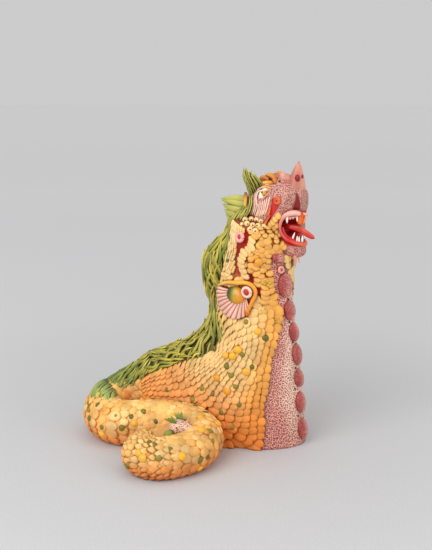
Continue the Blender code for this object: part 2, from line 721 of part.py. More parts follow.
def cut_at_floor(target):
    """Cut the clay flat at the floor."""
    wide = 1.0
    square = ((-wide, -wide), (wide, -wide), (wide, wide), (-wide, wide))
    corners = [(x, y, z) for z in (-wide, 0.0) for x, y in square]
    faces = [(0, 1, 2, 3), (4, 5, 6, 7), (0, 1, 5, 4), (1, 2, 6, 5), (2, 3, 7, 6), (3, 0, 4, 7)]
    cutter = mesh_object("floor_cutter", corners, faces)
    cutter.hide_render = True
    cutter.display_type = "WIRE"
    cut = target.modifiers.new("floor", "BOOLEAN")
    cut.operation = "DIFFERENCE"
    cut.object = cutter
    cut.solver = "EXACT"


def fired_clay():
    """One matt, unglazed-looking ceramic colour for the whole piece."""
    material = bpy.data.materials.new("fired_clay")
    material.use_nodes = True
    shader = material.node_tree.nodes["Principled BSDF"]
    shader.inputs["Base Color"].default_value = (0.78, 0.50, 0.22, 1)
    shader.inputs["Roughness"].default_value = 0.6
    shader.inputs["Metallic"].default_value = 0.0
    return material


def move_to_footprint():
    """Bring the middle of the footprint to the origin."""
    x, y = FOOTPRINT_CENTRE
    for obj in bpy.data.objects:
        obj.data.transform(Matrix.Translation((-x, -y, 0)))


def main():
    clear_scene()
    beast = body_skin()
    parts = crest_locks() + turn_webs() + head_parts() + scutes() + fan_ornament() + small_head()
    fuse(beast, parts + [nodule()])
    cut_at_floor(beast)
    move_to_footprint()
    beast.data.materials.append(fired_clay())


main()
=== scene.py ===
# %% [markdown]
# # A ceramic two-headed beast
# The real piece is one block of clay, built up wet by hand, fired and painted.
# A solid frame already gives its true size and outline. This lesson dresses
# that frame: first the smooth clay underneath, then everything a hand would
# press, roll and stick onto it, and at last the paint, the light and a camera.

# %% Load the frame
from math import cos, pi, radians, sin, tau

import bmesh
import bpy
import numpy as np
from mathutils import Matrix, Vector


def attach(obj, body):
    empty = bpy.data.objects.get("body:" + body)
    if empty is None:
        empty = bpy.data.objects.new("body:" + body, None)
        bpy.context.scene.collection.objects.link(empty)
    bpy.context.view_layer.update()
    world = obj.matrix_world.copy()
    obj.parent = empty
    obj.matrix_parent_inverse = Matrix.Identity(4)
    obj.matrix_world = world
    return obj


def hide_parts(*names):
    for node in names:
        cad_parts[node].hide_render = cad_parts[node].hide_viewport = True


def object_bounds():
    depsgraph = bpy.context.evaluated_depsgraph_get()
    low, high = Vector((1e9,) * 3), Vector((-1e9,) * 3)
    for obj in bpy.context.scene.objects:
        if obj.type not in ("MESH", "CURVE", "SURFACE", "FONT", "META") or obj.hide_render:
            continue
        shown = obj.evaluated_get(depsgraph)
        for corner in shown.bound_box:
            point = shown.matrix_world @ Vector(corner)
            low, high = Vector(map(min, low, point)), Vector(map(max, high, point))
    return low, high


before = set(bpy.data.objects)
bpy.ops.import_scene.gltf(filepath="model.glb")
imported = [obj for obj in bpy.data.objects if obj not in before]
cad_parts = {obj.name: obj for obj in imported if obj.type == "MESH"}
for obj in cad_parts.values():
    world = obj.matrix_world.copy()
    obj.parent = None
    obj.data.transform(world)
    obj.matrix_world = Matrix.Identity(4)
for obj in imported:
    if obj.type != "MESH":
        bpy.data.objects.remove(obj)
frame_box = [[float(c) for c in corner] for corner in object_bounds()]
rng = np.random.default_rng(7)
print("frame box", frame_box)

# %% [markdown]
# ## One map for the whole skin
# Every scale, lock and stud sits on the same long body, so it pays to have
# one function that turns "how far along" and "how far round" into a point.
# A smooth curve runs through a few cross-sections: each has a front point, a
# back point and a half width. The same sections shaped the solid frame, so
# whatever is placed with them lands on it.

# %% Sections of the body and the coil
FOOTPRINT_CENTRE = np.array((-0.1273, -0.0231, 0.0))
BODY_SECTIONS = (
    ((0.043, -0.021, 0.374), (-0.057, 0.008, 0.424), 18, 0.045),
    ((0.048, -0.02, 0.345), (-0.074, 0.014, 0.362), 17, 0.051),
    ((0.05, -0.02, 0.285), (-0.08, 0.018, 0.3), 16, 0.056),
    ((0.058, -0.02, 0.215), (-0.086, 0.022, 0.242), 16, 0.061),
    ((0.067, -0.02, 0.145), (-0.106, 0.03, 0.202), 17, 0.065),
    ((0.074, -0.018, 0.075), (-0.132, 0.04, 0.18), 18, 0.068),
    ((0.079, -0.016, 0.0), (-0.152, 0.05, 0.168), 19, 0.071),
    ((0.07, -0.01, -0.07), (-0.172, 0.06, 0.156), 20, 0.073),
    ((-0.01, 0.01, -0.08), (-0.19, 0.07, 0.147), 20, 0.072),
    ((-0.09, 0.046, -0.05), (-0.208, 0.082, 0.138), 18, 0.068),
    ((-0.15, 0.074, -0.02), (-0.228, 0.09, 0.126), 12, 0.062),
    ((-0.204, 0.09, -0.008), (-0.246, 0.093, 0.112), 2, 0.056),
)
OUTER_TURN = (-0.242, 0.036, 0.057)     # centre x, y and radius of the turn
RIGHT_TURN = (-0.186, -0.089, 0.073)
COIL_SINK = 0.002
STEP_LENGTH = 0.066                     # metres down the neck for each step of u
NECK_RADIUS = 0.06                     # of the skin round the neck beside the fan


def unit(v):
    """The vector, or each row of vectors, at length one."""
    v = np.asarray(v, float)
    return v / np.maximum(np.linalg.norm(v, axis=-1, keepdims=True), 1e-12)


def turn_keys(turn, radii):
    """Keys round one turn of the coil: centre x, y, z and the tube's radius at each angle."""
    x, y, reach = turn
    return [(x + reach * cos(radians(a)), y + reach * sin(radians(a)), radius - COIL_SINK, radius)
            for a, radius in radii]


def coil_keys():
    """Centre and radius of the coil at each key, from the body to the tail's tip."""
    outer = turn_keys(OUTER_TURN, ((125, 0.0485), (155, 0.0455), (185, 0.043), (215, 0.0415), (245, 0.04)))
    right = turn_keys(RIGHT_TURN, ((90, 0.041), (50, 0.0405), (10, 0.038), (-30, 0.0355), (-68, 0.035),
                                   (-96, 0.034)))
    tail = [
        (-0.214, -0.149, 0.031, 0.033),
        (-0.219, -0.121, 0.03, 0.028),
        (-0.205, -0.097, 0.029, 0.025),
        (-0.183, -0.09, 0.035, 0.023),
        (-0.166, -0.09, 0.047, 0.02),
        (-0.154, -0.096, 0.054, 0.015),
    ]
    return outer + [(-0.233, -0.014, 0.038, 0.04)] + right + tail


def all_sections():
    """Rows of front, back and side vector: the body's sections, then the coil's."""
    rows = []
    for front, back, heading, half in BODY_SECTIONS:
        a = radians(heading)
        rows.append((*front, *back, half * sin(a), half * cos(a), 0.0))
    keys = np.array(coil_keys())
    last_body = (np.array(BODY_SECTIONS[-1][0]) + np.array(BODY_SECTIONS[-1][1])) / 2
    centres = np.vstack((last_body, keys[:, :3], 2 * keys[-1, :3] - keys[-2, :3]))
    for k, (x, y, z, radius) in enumerate(keys):
        along = unit(centres[k + 2] - centres[k])
        side = unit((along[1], -along[0], 0.0))
        rise = np.cross(side, along)
        centre = np.array((x, y, z))
        rows.append((*(centre - rise * radius), *(centre + rise * radius), *(side * radius)))
    return np.array(rows)


SECTIONS = all_sections()
BODY_END = len(BODY_SECTIONS) - 1
TAIL_END = len(SECTIONS) - 1
print("sections", len(SECTIONS), "of them coil", len(SECTIONS) - len(BODY_SECTIONS))


# %% Points on the skin
def spline(keys, u):
    """Points of a smooth curve through the rows of keys, at parameters u."""
    keys = np.asarray(keys, float)
    ends = np.vstack((2 * keys[0] - keys[1], keys, 2 * keys[-1] - keys[-2]))
    u = np.clip(np.asarray(u, float), 0, len(keys) - 1)
    i = np.minimum(u.astype(int), len(keys) - 2)
    t = (u - i)[..., None]
    a, b, c, d = ends[i], ends[i + 1], ends[i + 2], ends[i + 3]
    cubic = 2 * b + (c - a) * t + (2 * a - 5 * b + 4 * c - d) * t * t
    return 0.5 * (cubic + (3 * b - a - 3 * c + d) * t ** 3)


def squeeze(u, degrees):
    """Share of the half width on the inside of each turn, so that it never folds."""
    outer_turn = np.interp(u, (10.0, 11.6, 12.6, 15.0, 16.4), (1.0, 0.77, 0.77, 0.86, 1.0))
    tail_turn = np.interp(u, (21.2, 22.8, 24.0, 25.0, 26.0), (1.0, 0.78, 0.78, 0.85, 1.0))
    return np.where(np.sin(np.radians(degrees)) < 0, outer_turn, tail_turn)


def skin(u, degrees, lift=0.0):
    """Points on the skin: u along the beast, degrees round it (0 belly, 180 spine)."""
    u, degrees, lift = np.broadcast_arrays(*(np.asarray(v, float) for v in (u, degrees, lift)))
    row = spline(SECTIONS, u)
    front, back = row[..., :3], row[..., 3:6]
    side = row[..., 6:9] * squeeze(u, degrees)[..., None]
    half = (front - back) / 2
    c = np.cos(np.radians(degrees))[..., None]
    s = np.sin(np.radians(degrees))[..., None]
    half_len = np.linalg.norm(half, axis=-1, keepdims=True)
    side_len = np.linalg.norm(side, axis=-1, keepdims=True)
    out = unit(half / half_len ** 2 * c + side / side_len ** 2 * s)
    return (front + back) / 2 + half * c + side * s + out * lift[..., None] - FOOTPRINT_CENTRE


def skin_axes(u, degrees):
    """Outward direction, direction along (+u) and direction round (+degrees) at points of the skin."""
    along = unit(skin(u + 0.03, degrees) - skin(u - 0.03, degrees))
    turned = unit(skin(u, degrees + 1) - skin(u, degrees - 1))
    out = unit(skin(u, degrees, 0.01) - skin(u, degrees, 0.0))
    return out, along, turned


def run_along(line):
    """Length from a line's first point to each of its points."""
    return np.concatenate(([0], np.cumsum(np.linalg.norm(np.diff(line, axis=0), axis=1))))


def pick(tints, count):
    """That many tints, drawn from a few."""
    return np.array(tints)[rng.integers(0, len(tints), count)]


def ease(x, low, high):
    """0 below low, 1 above high, and smooth between."""
    t = np.clip((np.asarray(x, float) - low) / (high - low), 0, 1)
    return t * t * (3 - 2 * t)


# %% [markdown]
# ## Paint mixed with Python's own signs
# A painted surface is a small sum: a colour, some mottling, a darker rim.
# Written as node links such sums are hard to read, so one class wraps a
# socket and lets + - * add the Math nodes. One method adds any other node.

# %% Sockets that can be added, taken away and multiplied
class Sock:
    """An output of a node tree that Python's arithmetic signs work on."""

    def __init__(self, graph, socket):
        self.graph, self.socket = graph, socket

    def maths(self, operation, first, second):
        return self.graph.add("ShaderNodeMath", {"operation": operation}, {0: first, 1: second})

    def __add__(self, other):
        return self.maths("ADD", self, other)

    def __sub__(self, other):
        return self.maths("SUBTRACT", self, other)

    def __rsub__(self, other):
        return self.maths("SUBTRACT", other, self)

    def __mul__(self, other):
        return self.maths("MULTIPLY", self, other)

    __radd__, __rmul__ = __add__, __mul__


class Graph:
    """A node tree that nodes are added to, one call each."""

    def __init__(self, tree):
        self.tree = tree

    def add(self, kind, settings=None, values=None, out=0):
        """A node of that kind: settings first, then the values or links of its sockets."""
        node = self.tree.nodes.new(kind)
        for key, value in (settings or {}).items():
            setattr(node, key, value)
        for key, value in (values or {}).items():
            if isinstance(value, Sock):
                self.tree.links.new(value.socket, node.inputs[key])
            else:
                node.inputs[key].default_value = value
        return Sock(self, node.outputs[out])

    def mix(self, share, first, second):
        """A colour between two colours."""
        colours = [c if isinstance(c, Sock) else (*c, 1) for c in (first, second)]
        return self.add("ShaderNodeMix", {"data_type": "RGBA"},
                        {0: share, 6: colours[0], 7: colours[1]}, out=2)

    def attribute(self, name, out="Fac"):
        return self.add("ShaderNodeAttribute", {"attribute_name": name}, out=out)

    def smooth(self, value, low, high, to_low=0.0, to_high=1.0):
        """value from low..high onto to_low..to_high, eased at both ends."""
        return self.add("ShaderNodeMapRange", {"interpolation_type": "SMOOTHSTEP"},
                        {0: value, 1: low, 2: high, 3: to_low, 4: to_high})


def tone(red, green, blue):
    """A colour given as on a screen, 0 to 255, in the linear numbers that shaders use."""
    c = np.array((red, green, blue)) / 255
    return np.where(c <= 0.04045, c / 12.92, ((c + 0.055) / 1.055) ** 2.4)


def tones(*shades):
    """Several such colours."""
    return tuple(tone(*shade) for shade in shades)


def blend(first, second, share):
    """The first paint where the share is 0, the second where it is 1."""
    return first * (1 - share) + second * share


# %% [markdown]
# ## The paints
# All pieces share one family of paint: a matt body colour that comes from the
# piece itself, mottled where the brush was heavier, with painted shade: a darker
# colour laid into the creases and the rims of the scales, where shadow falls.
# The mottling reads Object coordinates, so it stays on the clay. A fine grain is
# bumped in, because fired clay is never glassy.

# %% The common paint
CREAM, PEACH, GOLD = tone(252, 214, 148), tone(246, 188, 112), tone(243, 176, 80)
# painted shade: the three colours on the next line, and ROSE and WINE on the line after it, are the dark colours each
# paint lays into its creases and rims
SHADE_ORANGE, SHADE_BROWN, SHADE_OLIVE = tone(188, 78, 22), tone(112, 38, 8), tone(40, 42, 6)
PINK, ROSE, WINE, RED = tone(240, 194, 186), tone(196, 96, 92), tone(118, 26, 30), tone(196, 26, 34)
LEMON, IVORY = tone(252, 196, 50), tone(250, 244, 232)
GLAZE = (0.97, 0.9, 0.76)      # the warm cast of the clear glaze over all the paint


def painted(name, shade_colour=SHADE_BROWN, rim_shade_share=0.0, roughness=0.55, mottle=0.16, grain=0.12, coat=0.0,
            deep=0.8, dress=None, glaze=GLAZE):
    """A paint whose body colour is the piece's own tint attribute, darkened with painted shade in its creases and at
    the rims of its scales and ribs.
    """
    material = bpy.data.materials.new(name)
    material.use_nodes = True
    g = Graph(material.node_tree)
    shader = material.node_tree.nodes["Principled BSDF"]
    place = g.add("ShaderNodeTexCoord", out="Object")
    broad = g.add("ShaderNodeTexNoise", None, {"Vector": place, "Scale": 34.0, "Detail": 3.0})
    fine = g.add("ShaderNodeTexNoise", None, {"Vector": place, "Scale": 420.0, "Detail": 4.0})
    body = g.attribute("tint", "Color")
    shade = g.smooth(broad, 0.3, 0.7, 1 - mottle, 1 + mottle * 0.6) * g.smooth(fine, 0.25, 0.75, 0.93, 1.06)
    colour = g.add("ShaderNodeVectorMath", {"operation": "SCALE"}, {0: body, "Scale": shade})
    # painted shade: where the rim attribute is high, at the rims of scales and in grooves, the colour turns toward
    # the shade colour
    if rim_shade_share:
        crease = g.smooth(g.attribute("rim"), 0.35, 1.0) * rim_shade_share * g.smooth(broad, 0.3, 0.65, 0.7, 1.1)
        colour = g.mix(crease, colour, shade_colour)
    height = fine * grain
    if dress:
        colour, height = dress(g, place, colour, height)
    # painted shade: the ambient occlusion node darkens the colour where other clay hems a point in, as shadow does in
    # creases
    if deep:
        open_share = g.add("ShaderNodeAmbientOcclusion", {"samples": 3}, {"Distance": 0.0065}, out="AO")
        colour = g.mix((1 - g.smooth(open_share, 0.22, 0.8)) * deep, colour, shade_colour)
    if glaze:
        colour = g.add("ShaderNodeVectorMath", {"operation": "MULTIPLY"}, {0: colour, 1: glaze})
    bump = g.add("ShaderNodeBump", None, {"Strength": 0.5, "Distance": 0.001, "Height": height})
    rough = g.smooth(fine + broad, 0.7, 1.3, roughness - 0.08, roughness + 0.1)
    for key, value in (("Base Color", colour), ("Normal", bump), ("Roughness", rough)):
        g.tree.links.new(value.socket, shader.inputs[key])
    shader.inputs["Coat Weight"].default_value = coat
    shader.inputs["Coat Roughness"].default_value = 0.3
    return material


def pricks(g, place, colour, height, weave=False):
    """Hundreds of little pricks with dark red paint in them, larger where "blush" is high."""
    blush = g.attribute("blush")
    reach = 0.4
    if weave:
        reach = 0.3
        cells = g.add("ShaderNodeTexVoronoi", {"voronoi_dimensions": "2D"},
                      {"Vector": g.attribute("weave", "Vector"), "Scale": 262.0, "Randomness": 0.72})
    else:
        cells = g.add("ShaderNodeTexVoronoi", None, {"Vector": place, "Scale": 390.0, "Randomness": 0.6})
    dot = 1 - g.smooth(cells - 0.1 * blush, reach - 0.13, reach + 0.05)
    patch = g.add("ShaderNodeTexNoise", None, {"Vector": place, "Scale": 30.0, "Detail": 2.0})
    # where blush is high the ground turns redder; on the belly this is in part painted shade beside the scales and
    # under the chin
    colour = g.mix(g.smooth(blush + patch * 0.4, 0.35, 1.05, 0.0, 0.7), colour, tone(222, 136, 130))
    dot = dot * g.smooth(blush, -0.3, 0.05, 0.0, 0.96)
    return g.mix(dot, colour, tone(122, 24, 36)), height - dot * 0.8


paint_scales = painted("painted_scales", shade_colour=SHADE_BROWN, rim_shade_share=0.75)
paint_core = painted("painted_core", roughness=0.65, mottle=0.3, deep=0.3)
paint_belly = painted("pricked_band", shade_colour=WINE, roughness=0.5, deep=0.6,
                      dress=lambda *given: pricks(*given, weave=True))
paint_muzzle = painted("pricked_muzzle", shade_colour=WINE, dress=pricks, roughness=0.5, deep=0.6)
paint_mane = painted("painted_locks", shade_colour=SHADE_OLIVE, roughness=0.5, mottle=0.25, deep=0.95)
paint_gloss = painted("bright_paint", shade_colour=WINE, roughness=0.34, mottle=0.1, grain=0.05, coat=0.25, deep=0.6)
print("paints", [m.name for m in bpy.data.materials])

# %% [markdown]
# ## A mesh maker that carries its colour
# Each piece is gathered from small meshes, and every point keeps its own
# paint in an attribute called "tint". "rim" says how deep in a crease a point
# lies, and the paint darkens it there as painted shade. The shader reads both,
# so colour follows the modelling exactly.

# %% Gathering meshes
def put(name, data):
    """A new object in the scene."""
    obj = bpy.data.objects.new(name, data)
    bpy.context.scene.collection.objects.link(obj)
    return obj


def new_mesh(name, points, faces=(), edges=()):
    """A mesh from an array of points and rows of their numbers."""
    mesh = bpy.data.meshes.new(name)
    mesh.from_pydata(np.asarray(points).tolist(), edges, [tuple(map(int, f)) for f in faces])
    return mesh


class Clay:
    """Points and faces gathered for one piece, with a tint and a rim value for each point."""

    def __init__(self):
        self.points, self.tints, self.rims, self.faces = [], [], [], []

    def add(self, points, faces, tint, rim=0.0):
        start = sum(len(p) for p in self.points)
        points = np.asarray(points, float).reshape(-1, 3)
        self.points.append(points)
        self.tints.append(np.broadcast_to(np.asarray(tint, float), (len(points), 3)))
        self.rims.append(np.broadcast_to(np.asarray(rim, float), (len(points),)))
        self.faces += [tuple(int(start + i) for i in f) for f in faces]

    def mesh(self, name):
        mesh = new_mesh(name, np.vstack(self.points), self.faces)
        put_attribute(mesh, "tint", np.vstack(self.tints))
        put_attribute(mesh, "rim", np.concatenate(self.rims))
        return mesh

    def piece(self, name, material, subdivide=0):
        """A finished object from what was gathered, faces pointing out, shaded smooth."""
        mesh = self.mesh(name)
        tidy(mesh)
        obj = put(name, mesh)
        if subdivide:
            smoother = obj.modifiers.new("smoother", "SUBSURF")
            smoother.levels = smoother.render_levels = subdivide
            make_plain(obj)
        obj.data.materials.clear()
        obj.data.materials.append(material)
        return obj


def put_attribute(mesh, name, values):
    """Store numbers, vectors or colours on a mesh's points."""
    values = np.asarray(values, np.float32)
    if values.ndim == 2:
        if name == "tint":
            layer = mesh.attributes.new(name, "FLOAT_COLOR", "POINT")
            values = np.hstack((values, np.ones((len(values), 1), np.float32)))
            layer.data.foreach_set("color", values.ravel())
        else:
            mesh.attributes.new(name, "FLOAT_VECTOR", "POINT").data.foreach_set("vector", values.ravel())
    else:
        mesh.attributes.new(name, "FLOAT", "POINT").data.foreach_set("value", values)


def tidy(mesh):
    """Point every face outward and shade it smooth."""
    bm = bmesh.new()
    bm.from_mesh(mesh)
    bmesh.ops.recalc_face_normals(bm, faces=bm.faces)
    for face in bm.faces:
        face.smooth = True
    bm.to_mesh(mesh)
    bm.free()


def make_plain(obj):
    """Replace an object's mesh by what its modifiers make of it, and drop them."""
    graph = bpy.context.evaluated_depsgraph_get()
    mesh = bpy.data.meshes.new_from_object(obj.evaluated_get(graph), preserve_all_data_layers=True,
                                           depsgraph=graph)
    obj.modifiers.clear()
    obj.data = mesh


def triangles(obj):
    return sum(len(p.vertices) - 2 for p in obj.data.polygons)


PIECES = []


def keep(obj, note=""):
    """Count a finished piece as part of the beast, pressed back where it would leave the frame's box."""
    places = np.empty(len(obj.data.vertices) * 3)
    obj.data.vertices.foreach_get("co", places)
    low, high = np.array(frame_box[0]) + (0, 0, 0.0004), np.array(frame_box[1])
    obj.data.vertices.foreach_set("co", np.clip(places.reshape(-1, 3), low, high).ravel())
    PIECES.append(obj)
    print(f"{obj.name}: {triangles(obj)} triangles {note}")
    return obj


# %% Rods and lofts
def loft(rings):
    """Points and faces of a closed solid through rings; a ring of one point is a tip."""
    points = np.vstack([np.atleast_2d(r) for r in rings])
    starts = np.cumsum([0] + [len(np.atleast_2d(r)) for r in rings])
    faces = []
    for k in range(len(rings) - 1):
        n, m = starts[k + 1] - starts[k], starts[k + 2] - starts[k + 1]
        a, b = starts[k], starts[k + 1]
        if n == m:
            faces += [(a + j, a + (j + 1) % n, b + (j + 1) % n, b + j) for j in range(n)]
        elif m == 1:
            faces += [(a + j, a + (j + 1) % n, b) for j in range(n)]
        elif n == 1:
            faces += [(a, b + (j + 1) % m, b + j) for j in range(m)]
    for k in (0, len(rings) - 1):
        n = starts[k + 1] - starts[k]
        if n > 1:
            faces.append(tuple(range(starts[k], starts[k] + n)))
    return points, faces


def curve_through(points, count):
    """A smooth path of count points through a few given ones."""
    points = np.asarray(points, float)
    return spline(points, np.linspace(0, len(points) - 1, count))


def rod(path, radii, sides=10, flat=1.0, up=(0, 0, 1)):
    """A rod along a path whose radius changes; flat squeezes it in the up direction."""
    path = np.asarray(path, float)
    radii = np.interp(np.linspace(0, 1, len(path)), np.linspace(0, 1, len(radii)), radii)
    turns = np.arange(sides) / sides * tau
    rings = []
    for k, radius in enumerate(radii):
        along = unit(path[min(k + 1, len(path) - 1)] - path[max(k - 1, 0)])
        across = unit(np.cross(along, up))
        over = np.cross(across, along)
        if radius < 1e-5:
            rings.append(path[k])
            continue
        rings.append(path[k] + radius * (np.outer(np.cos(turns), across) + flat * np.outer(np.sin(turns), over)))
    return loft(rings)


def ball(centre, size, axes=None, segments=14, rows=9):
    """A squashed ball, its three half sizes along the rows of axes."""
    axes = np.eye(3) if axes is None else np.asarray(axes, float)
    rings = []
    for k in range(rows + 1):
        b = pi * k / rows
        if k in (0, rows):
            rings.append(centre + axes[2] * size[2] * cos(b))
            continue
        a = np.arange(segments) / segments * tau
        rings.append(centre + np.outer(np.cos(a) * sin(b) * size[0], axes[0])
                     + np.outer(np.sin(a) * sin(b) * size[1], axes[1]) + axes[2] * size[2] * cos(b))
    return loft(rings)


# %% [markdown]
# ## The clay underneath
# Under the scales lies one smooth body. It could be a plain tube, but the
# mane swells over the spine and a torn groove runs down the neck, so each
# point of the tube is lifted or sunk by a few simple rules of "how far along,
# how far round". The floor then slices it flat, as a wire cuts wet clay.

# %% Where things lie on the skin
def belly_edge(u):
    """Degrees at which the scales of the near side stop and the bare belly begins."""
    return np.interp(u, (0, 0.2, 0.45, 0.7, 1.2, 1.5, 1.8, 2.05, 2.35, 2.6, 2.8, 3.15, 3.75, 4.5, 5.4, 6.4),
                     (338, 336, 322, 304, 307, 310, 313, 318, 321, 321, 317, 310, 303, 300, 298, 300))


MANE_END = 13.8                         # place along the beast where the mane has run out


def mane_inner(u):
    """Degrees at which the scales of the near side stop and the mane begins."""
    return np.interp(u, (0, 0.25, 0.55, 0.85, 1.15, 1.45, 1.8, 2.15, 2.5, 2.75, 3.0, 3.3, 3.65, 3.95, 4.65, 5.65,
                         6.85, 8.2, 9.8, 11.0, 12.4, 13.6),
                     (216, 219, 226, 228, 225, 220, 212, 206, 200, 206, 222, 234, 239, 234, 229, 220, 213,
                      215, 224, 232, 242, 210))


def mane_height(u):
    """How far the mane stands off the spine."""
    return np.interp(u, (0, 0.5, 0.9, 1.25, 1.6, 2.0, 2.4, 2.6, 3.2, 4.2, 7.0, 10.0, 12.4, 13.8),
                     (0.002, 0.006, 0.022, 0.031, 0.033, 0.031, 0.022, 0.014, 0.01, 0.012, 0.012, 0.01, 0.007, 0.001))


def mane_reach(u, near):
    """Degrees from the spine to the mane's edge, on the near or the far side."""
    edge = np.maximum(mane_inner(u) - 180, 20)
    return np.where(near, edge, 0.85 * edge)


def mane_swell(u, degrees):
    """How far the mane's own bulk stands off the skin."""
    off = np.mod(degrees, 360) - 180
    share = np.maximum(0, 1 - (np.abs(off) / mane_reach(u, off > 0)) ** 2)
    return share * mane_height(u) * ease(MANE_END - u, 0, 0.6)


def groove(u, degrees):
    """How deep the torn groove is, 0 to 1: a long tear beside the bud and a short one lower down."""
    turn = np.mod(degrees, 360)
    centre = np.interp(u, (0, 0.14, 0.41, 0.65, 1.0, 1.5), (251, 257, 253, 250.5, 250, 255))
    half = np.interp(u, (0.0, 0.05, 0.2, 0.45, 0.7, 0.9, 1.05, 1.45, 1.55), (0.1, 4, 8.5, 9, 7.5, 3.2, 2.4, 2.2, 0.1))
    lower = np.interp(u, (1.25, 1.5, 1.58, 1.7, 1.84, 2.0), (279, 273.5, 275, 281, 284.5, 285.5))
    lower_half = np.interp(u, (1.2, 1.3, 1.55, 1.75, 1.95, 2.05), (0.1, 2.6, 4.5, 3, 2, 0.1))
    return np.maximum(np.maximum(0, 1 - ((turn - centre) / half) ** 2),
                      np.maximum(0, 1 - ((turn - lower) / lower_half) ** 2))


print("belly edge at the foot", float(belly_edge(6.0)), "mane edge", float(mane_inner(6.0)))

# %% The smooth body
CORE_STEP = 0.0033
CORE_COLUMNS = 112


def middle_places(start, end, step):
    """Places along the beast, a step of length apart along its middle line."""
    fine = np.linspace(start, end, 2000)
    line = (skin(fine, 0.0) + skin(fine, 180.0)) / 2
    run = run_along(line)
    return np.interp(np.linspace(0, run[-1], max(2, round(run[-1] / step)) + 1), run, fine)


def core_tint(u, degrees, z):
    """Paint under everything: painted shade between the scales and under the mane, red in the groove."""
    shape = np.broadcast(u, degrees).shape
    turn = np.mod(degrees, 360)
    # painted shade: brown in the gaps between the scales, a little darker toward the floor
    low = ease(z, 0.2, 0.0)[..., None]
    tint = blend(tone(176, 92, 40), tone(168, 74, 24), low)
    hem = ease(z, 0.034, 0.01)[..., None]
    tint = blend(tint, tone(230, 136, 56), hem)
    coil = ease(u, 10.5, 12.0)[..., None]
    warm = ease(z, 0.05, 0.005)[..., None]
    tint = blend(tint, blend(PEACH, tone(232, 140, 66), warm), coil)
    # painted shade: dark olive under the mane, where the strands shade the clay
    mane = ease(mane_swell(u, turn), 0.0, 0.002)[..., None]
    tint = blend(tint, tone(52, 54, 20), mane)
    torn = ease(np.maximum(groove(u, turn - 3), groove(u, turn + 3)), 0.0, 0.3)[..., None]
    return np.broadcast_to(blend(tint, RED, torn), (*shape, 3))


def slice_at_floor(bm):
    """Cut the clay flat at the floor and close the cut."""
    everything = bm.verts[:] + bm.edges[:] + bm.faces[:]
    cut = bmesh.ops.bisect_plane(bm, geom=everything, plane_co=(0, 0, 0.0006), plane_no=(0, 0, 1),
                                 clear_inner=True)
    edges = [e for e in cut["geom_cut"] if isinstance(e, bmesh.types.BMEdge)]
    bmesh.ops.holes_fill(bm, edges=edges, sides=0)
    bmesh.ops.triangulate(bm, faces=[f for f in bm.faces if len(f.verts) > 4])


def make_core():
    """The body tube from the neck's dome to the tail's tip."""
    degrees = np.arange(CORE_COLUMNS) / CORE_COLUMNS * 360
    places = middle_places(0, TAIL_END, CORE_STEP)
    u, turn = np.meshgrid(places, degrees, indexing="ij")
    lumps = 0.0012 * np.sin(u * 9.0 + np.radians(turn) * 3) * ease(u, 11, 13)
    lift = np.maximum(mane_swell(u, turn) - 0.004, 0) - 0.0065 * groove(u, turn) + lumps - 0.001
    grid = skin(u, turn, lift)
    top = grid[0]
    middle = top.mean(axis=0)
    rise = unit(np.cross(top[0] - middle, top[CORE_COLUMNS // 4] - middle))
    dome = [middle + (top - middle) * cos(b) + rise * 0.026 * sin(b) for b in np.radians((84, 66, 48, 32, 16))]
    rings = [middle + rise * 0.026] + dome + list(grid) + [grid[-1].mean(axis=0)]
    points, faces = loft(rings)
    # painted shade: the dome under the head takes the dark shade colour
    tint = np.vstack([[SHADE_BROWN]] + [np.tile(SHADE_BROWN, (len(d), 1)) for d in dome]
                     + [core_tint(u, turn, grid[..., 2]).reshape(-1, 3), [PEACH]])
    clay = Clay()
    clay.add(points, faces, tint)
    mesh = clay.mesh("clay_core")
    bm = bmesh.new()
    bm.from_mesh(mesh)
    bmesh.ops.recalc_face_normals(bm, faces=bm.faces)
    slice_at_floor(bm)
    for face in bm.faces:
        face.smooth = True
    bm.to_mesh(mesh)
    bm.free()
    obj = put("clay_core", mesh)
    mesh.materials.append(paint_core)
    return keep(obj)


clay_core = make_core()

# %% [markdown]
# ## Scales, pressed on one by one
# A scale is a little pad of clay: a rounded outline, a domed face and one
# edge that stands free over its neighbour. There are well over a thousand, so
# one pad is modelled once as a stamp and Geometry Nodes sets it on points.
# Each point carries the direction the pad faces, the way its free edge
# points, its three sizes and its paint.

# %% The stamp and the tree that sets it
def make_stamp(name, profile, sides, lean=(0.0, 0.0), point=0.0):
    """A pad of radius one: profile gives radius, height and rim; lean tips it, point draws out its free end."""
    rings, rims = [], []
    for radius, height, rim in profile:
        a = np.arange(sides) / sides * tau
        x, y = radius * np.cos(a) * (1 - point * np.maximum(0, np.sin(a)) ** 2), radius * np.sin(a)
        ring = np.stack((x, y + point * np.maximum(0, y) ** 3, height + lean[0] * x + lean[1] * y), axis=1)
        rings.append(ring if radius else ring[0])
        rims += [rim] * (sides if radius else 1)
    points, faces = loft(rings)
    mesh = new_mesh(name, points, faces)
    put_attribute(mesh, "rim", np.array(rims))
    tidy(mesh)
    return bpy.data.objects.new(name, mesh)


def new_tree(name, inputs, output):
    """The graph of a new tree and its inputs, each given by its name and kind."""
    tree = bpy.data.node_groups.new(name, "GeometryNodeTree")
    for label, kind in inputs.items():
        tree.interface.new_socket(label, in_out="INPUT", socket_type=f"NodeSocket{kind}")
    tree.interface.new_socket(output, in_out="OUTPUT", socket_type="NodeSocketGeometry")
    g = Graph(tree)
    return g, [Sock(g, s) for s in tree.nodes.new("NodeGroupInput").outputs[:len(inputs)]]


def close_tree(g, geometry, paint):
    """Paint what the tree has made and hand it out."""
    done = g.add("GeometryNodeSetMaterial", None, {"Geometry": geometry, "Material": paint})
    g.tree.links.new(done.socket, g.tree.nodes.new("NodeGroupOutput").inputs[0])
    return g.tree


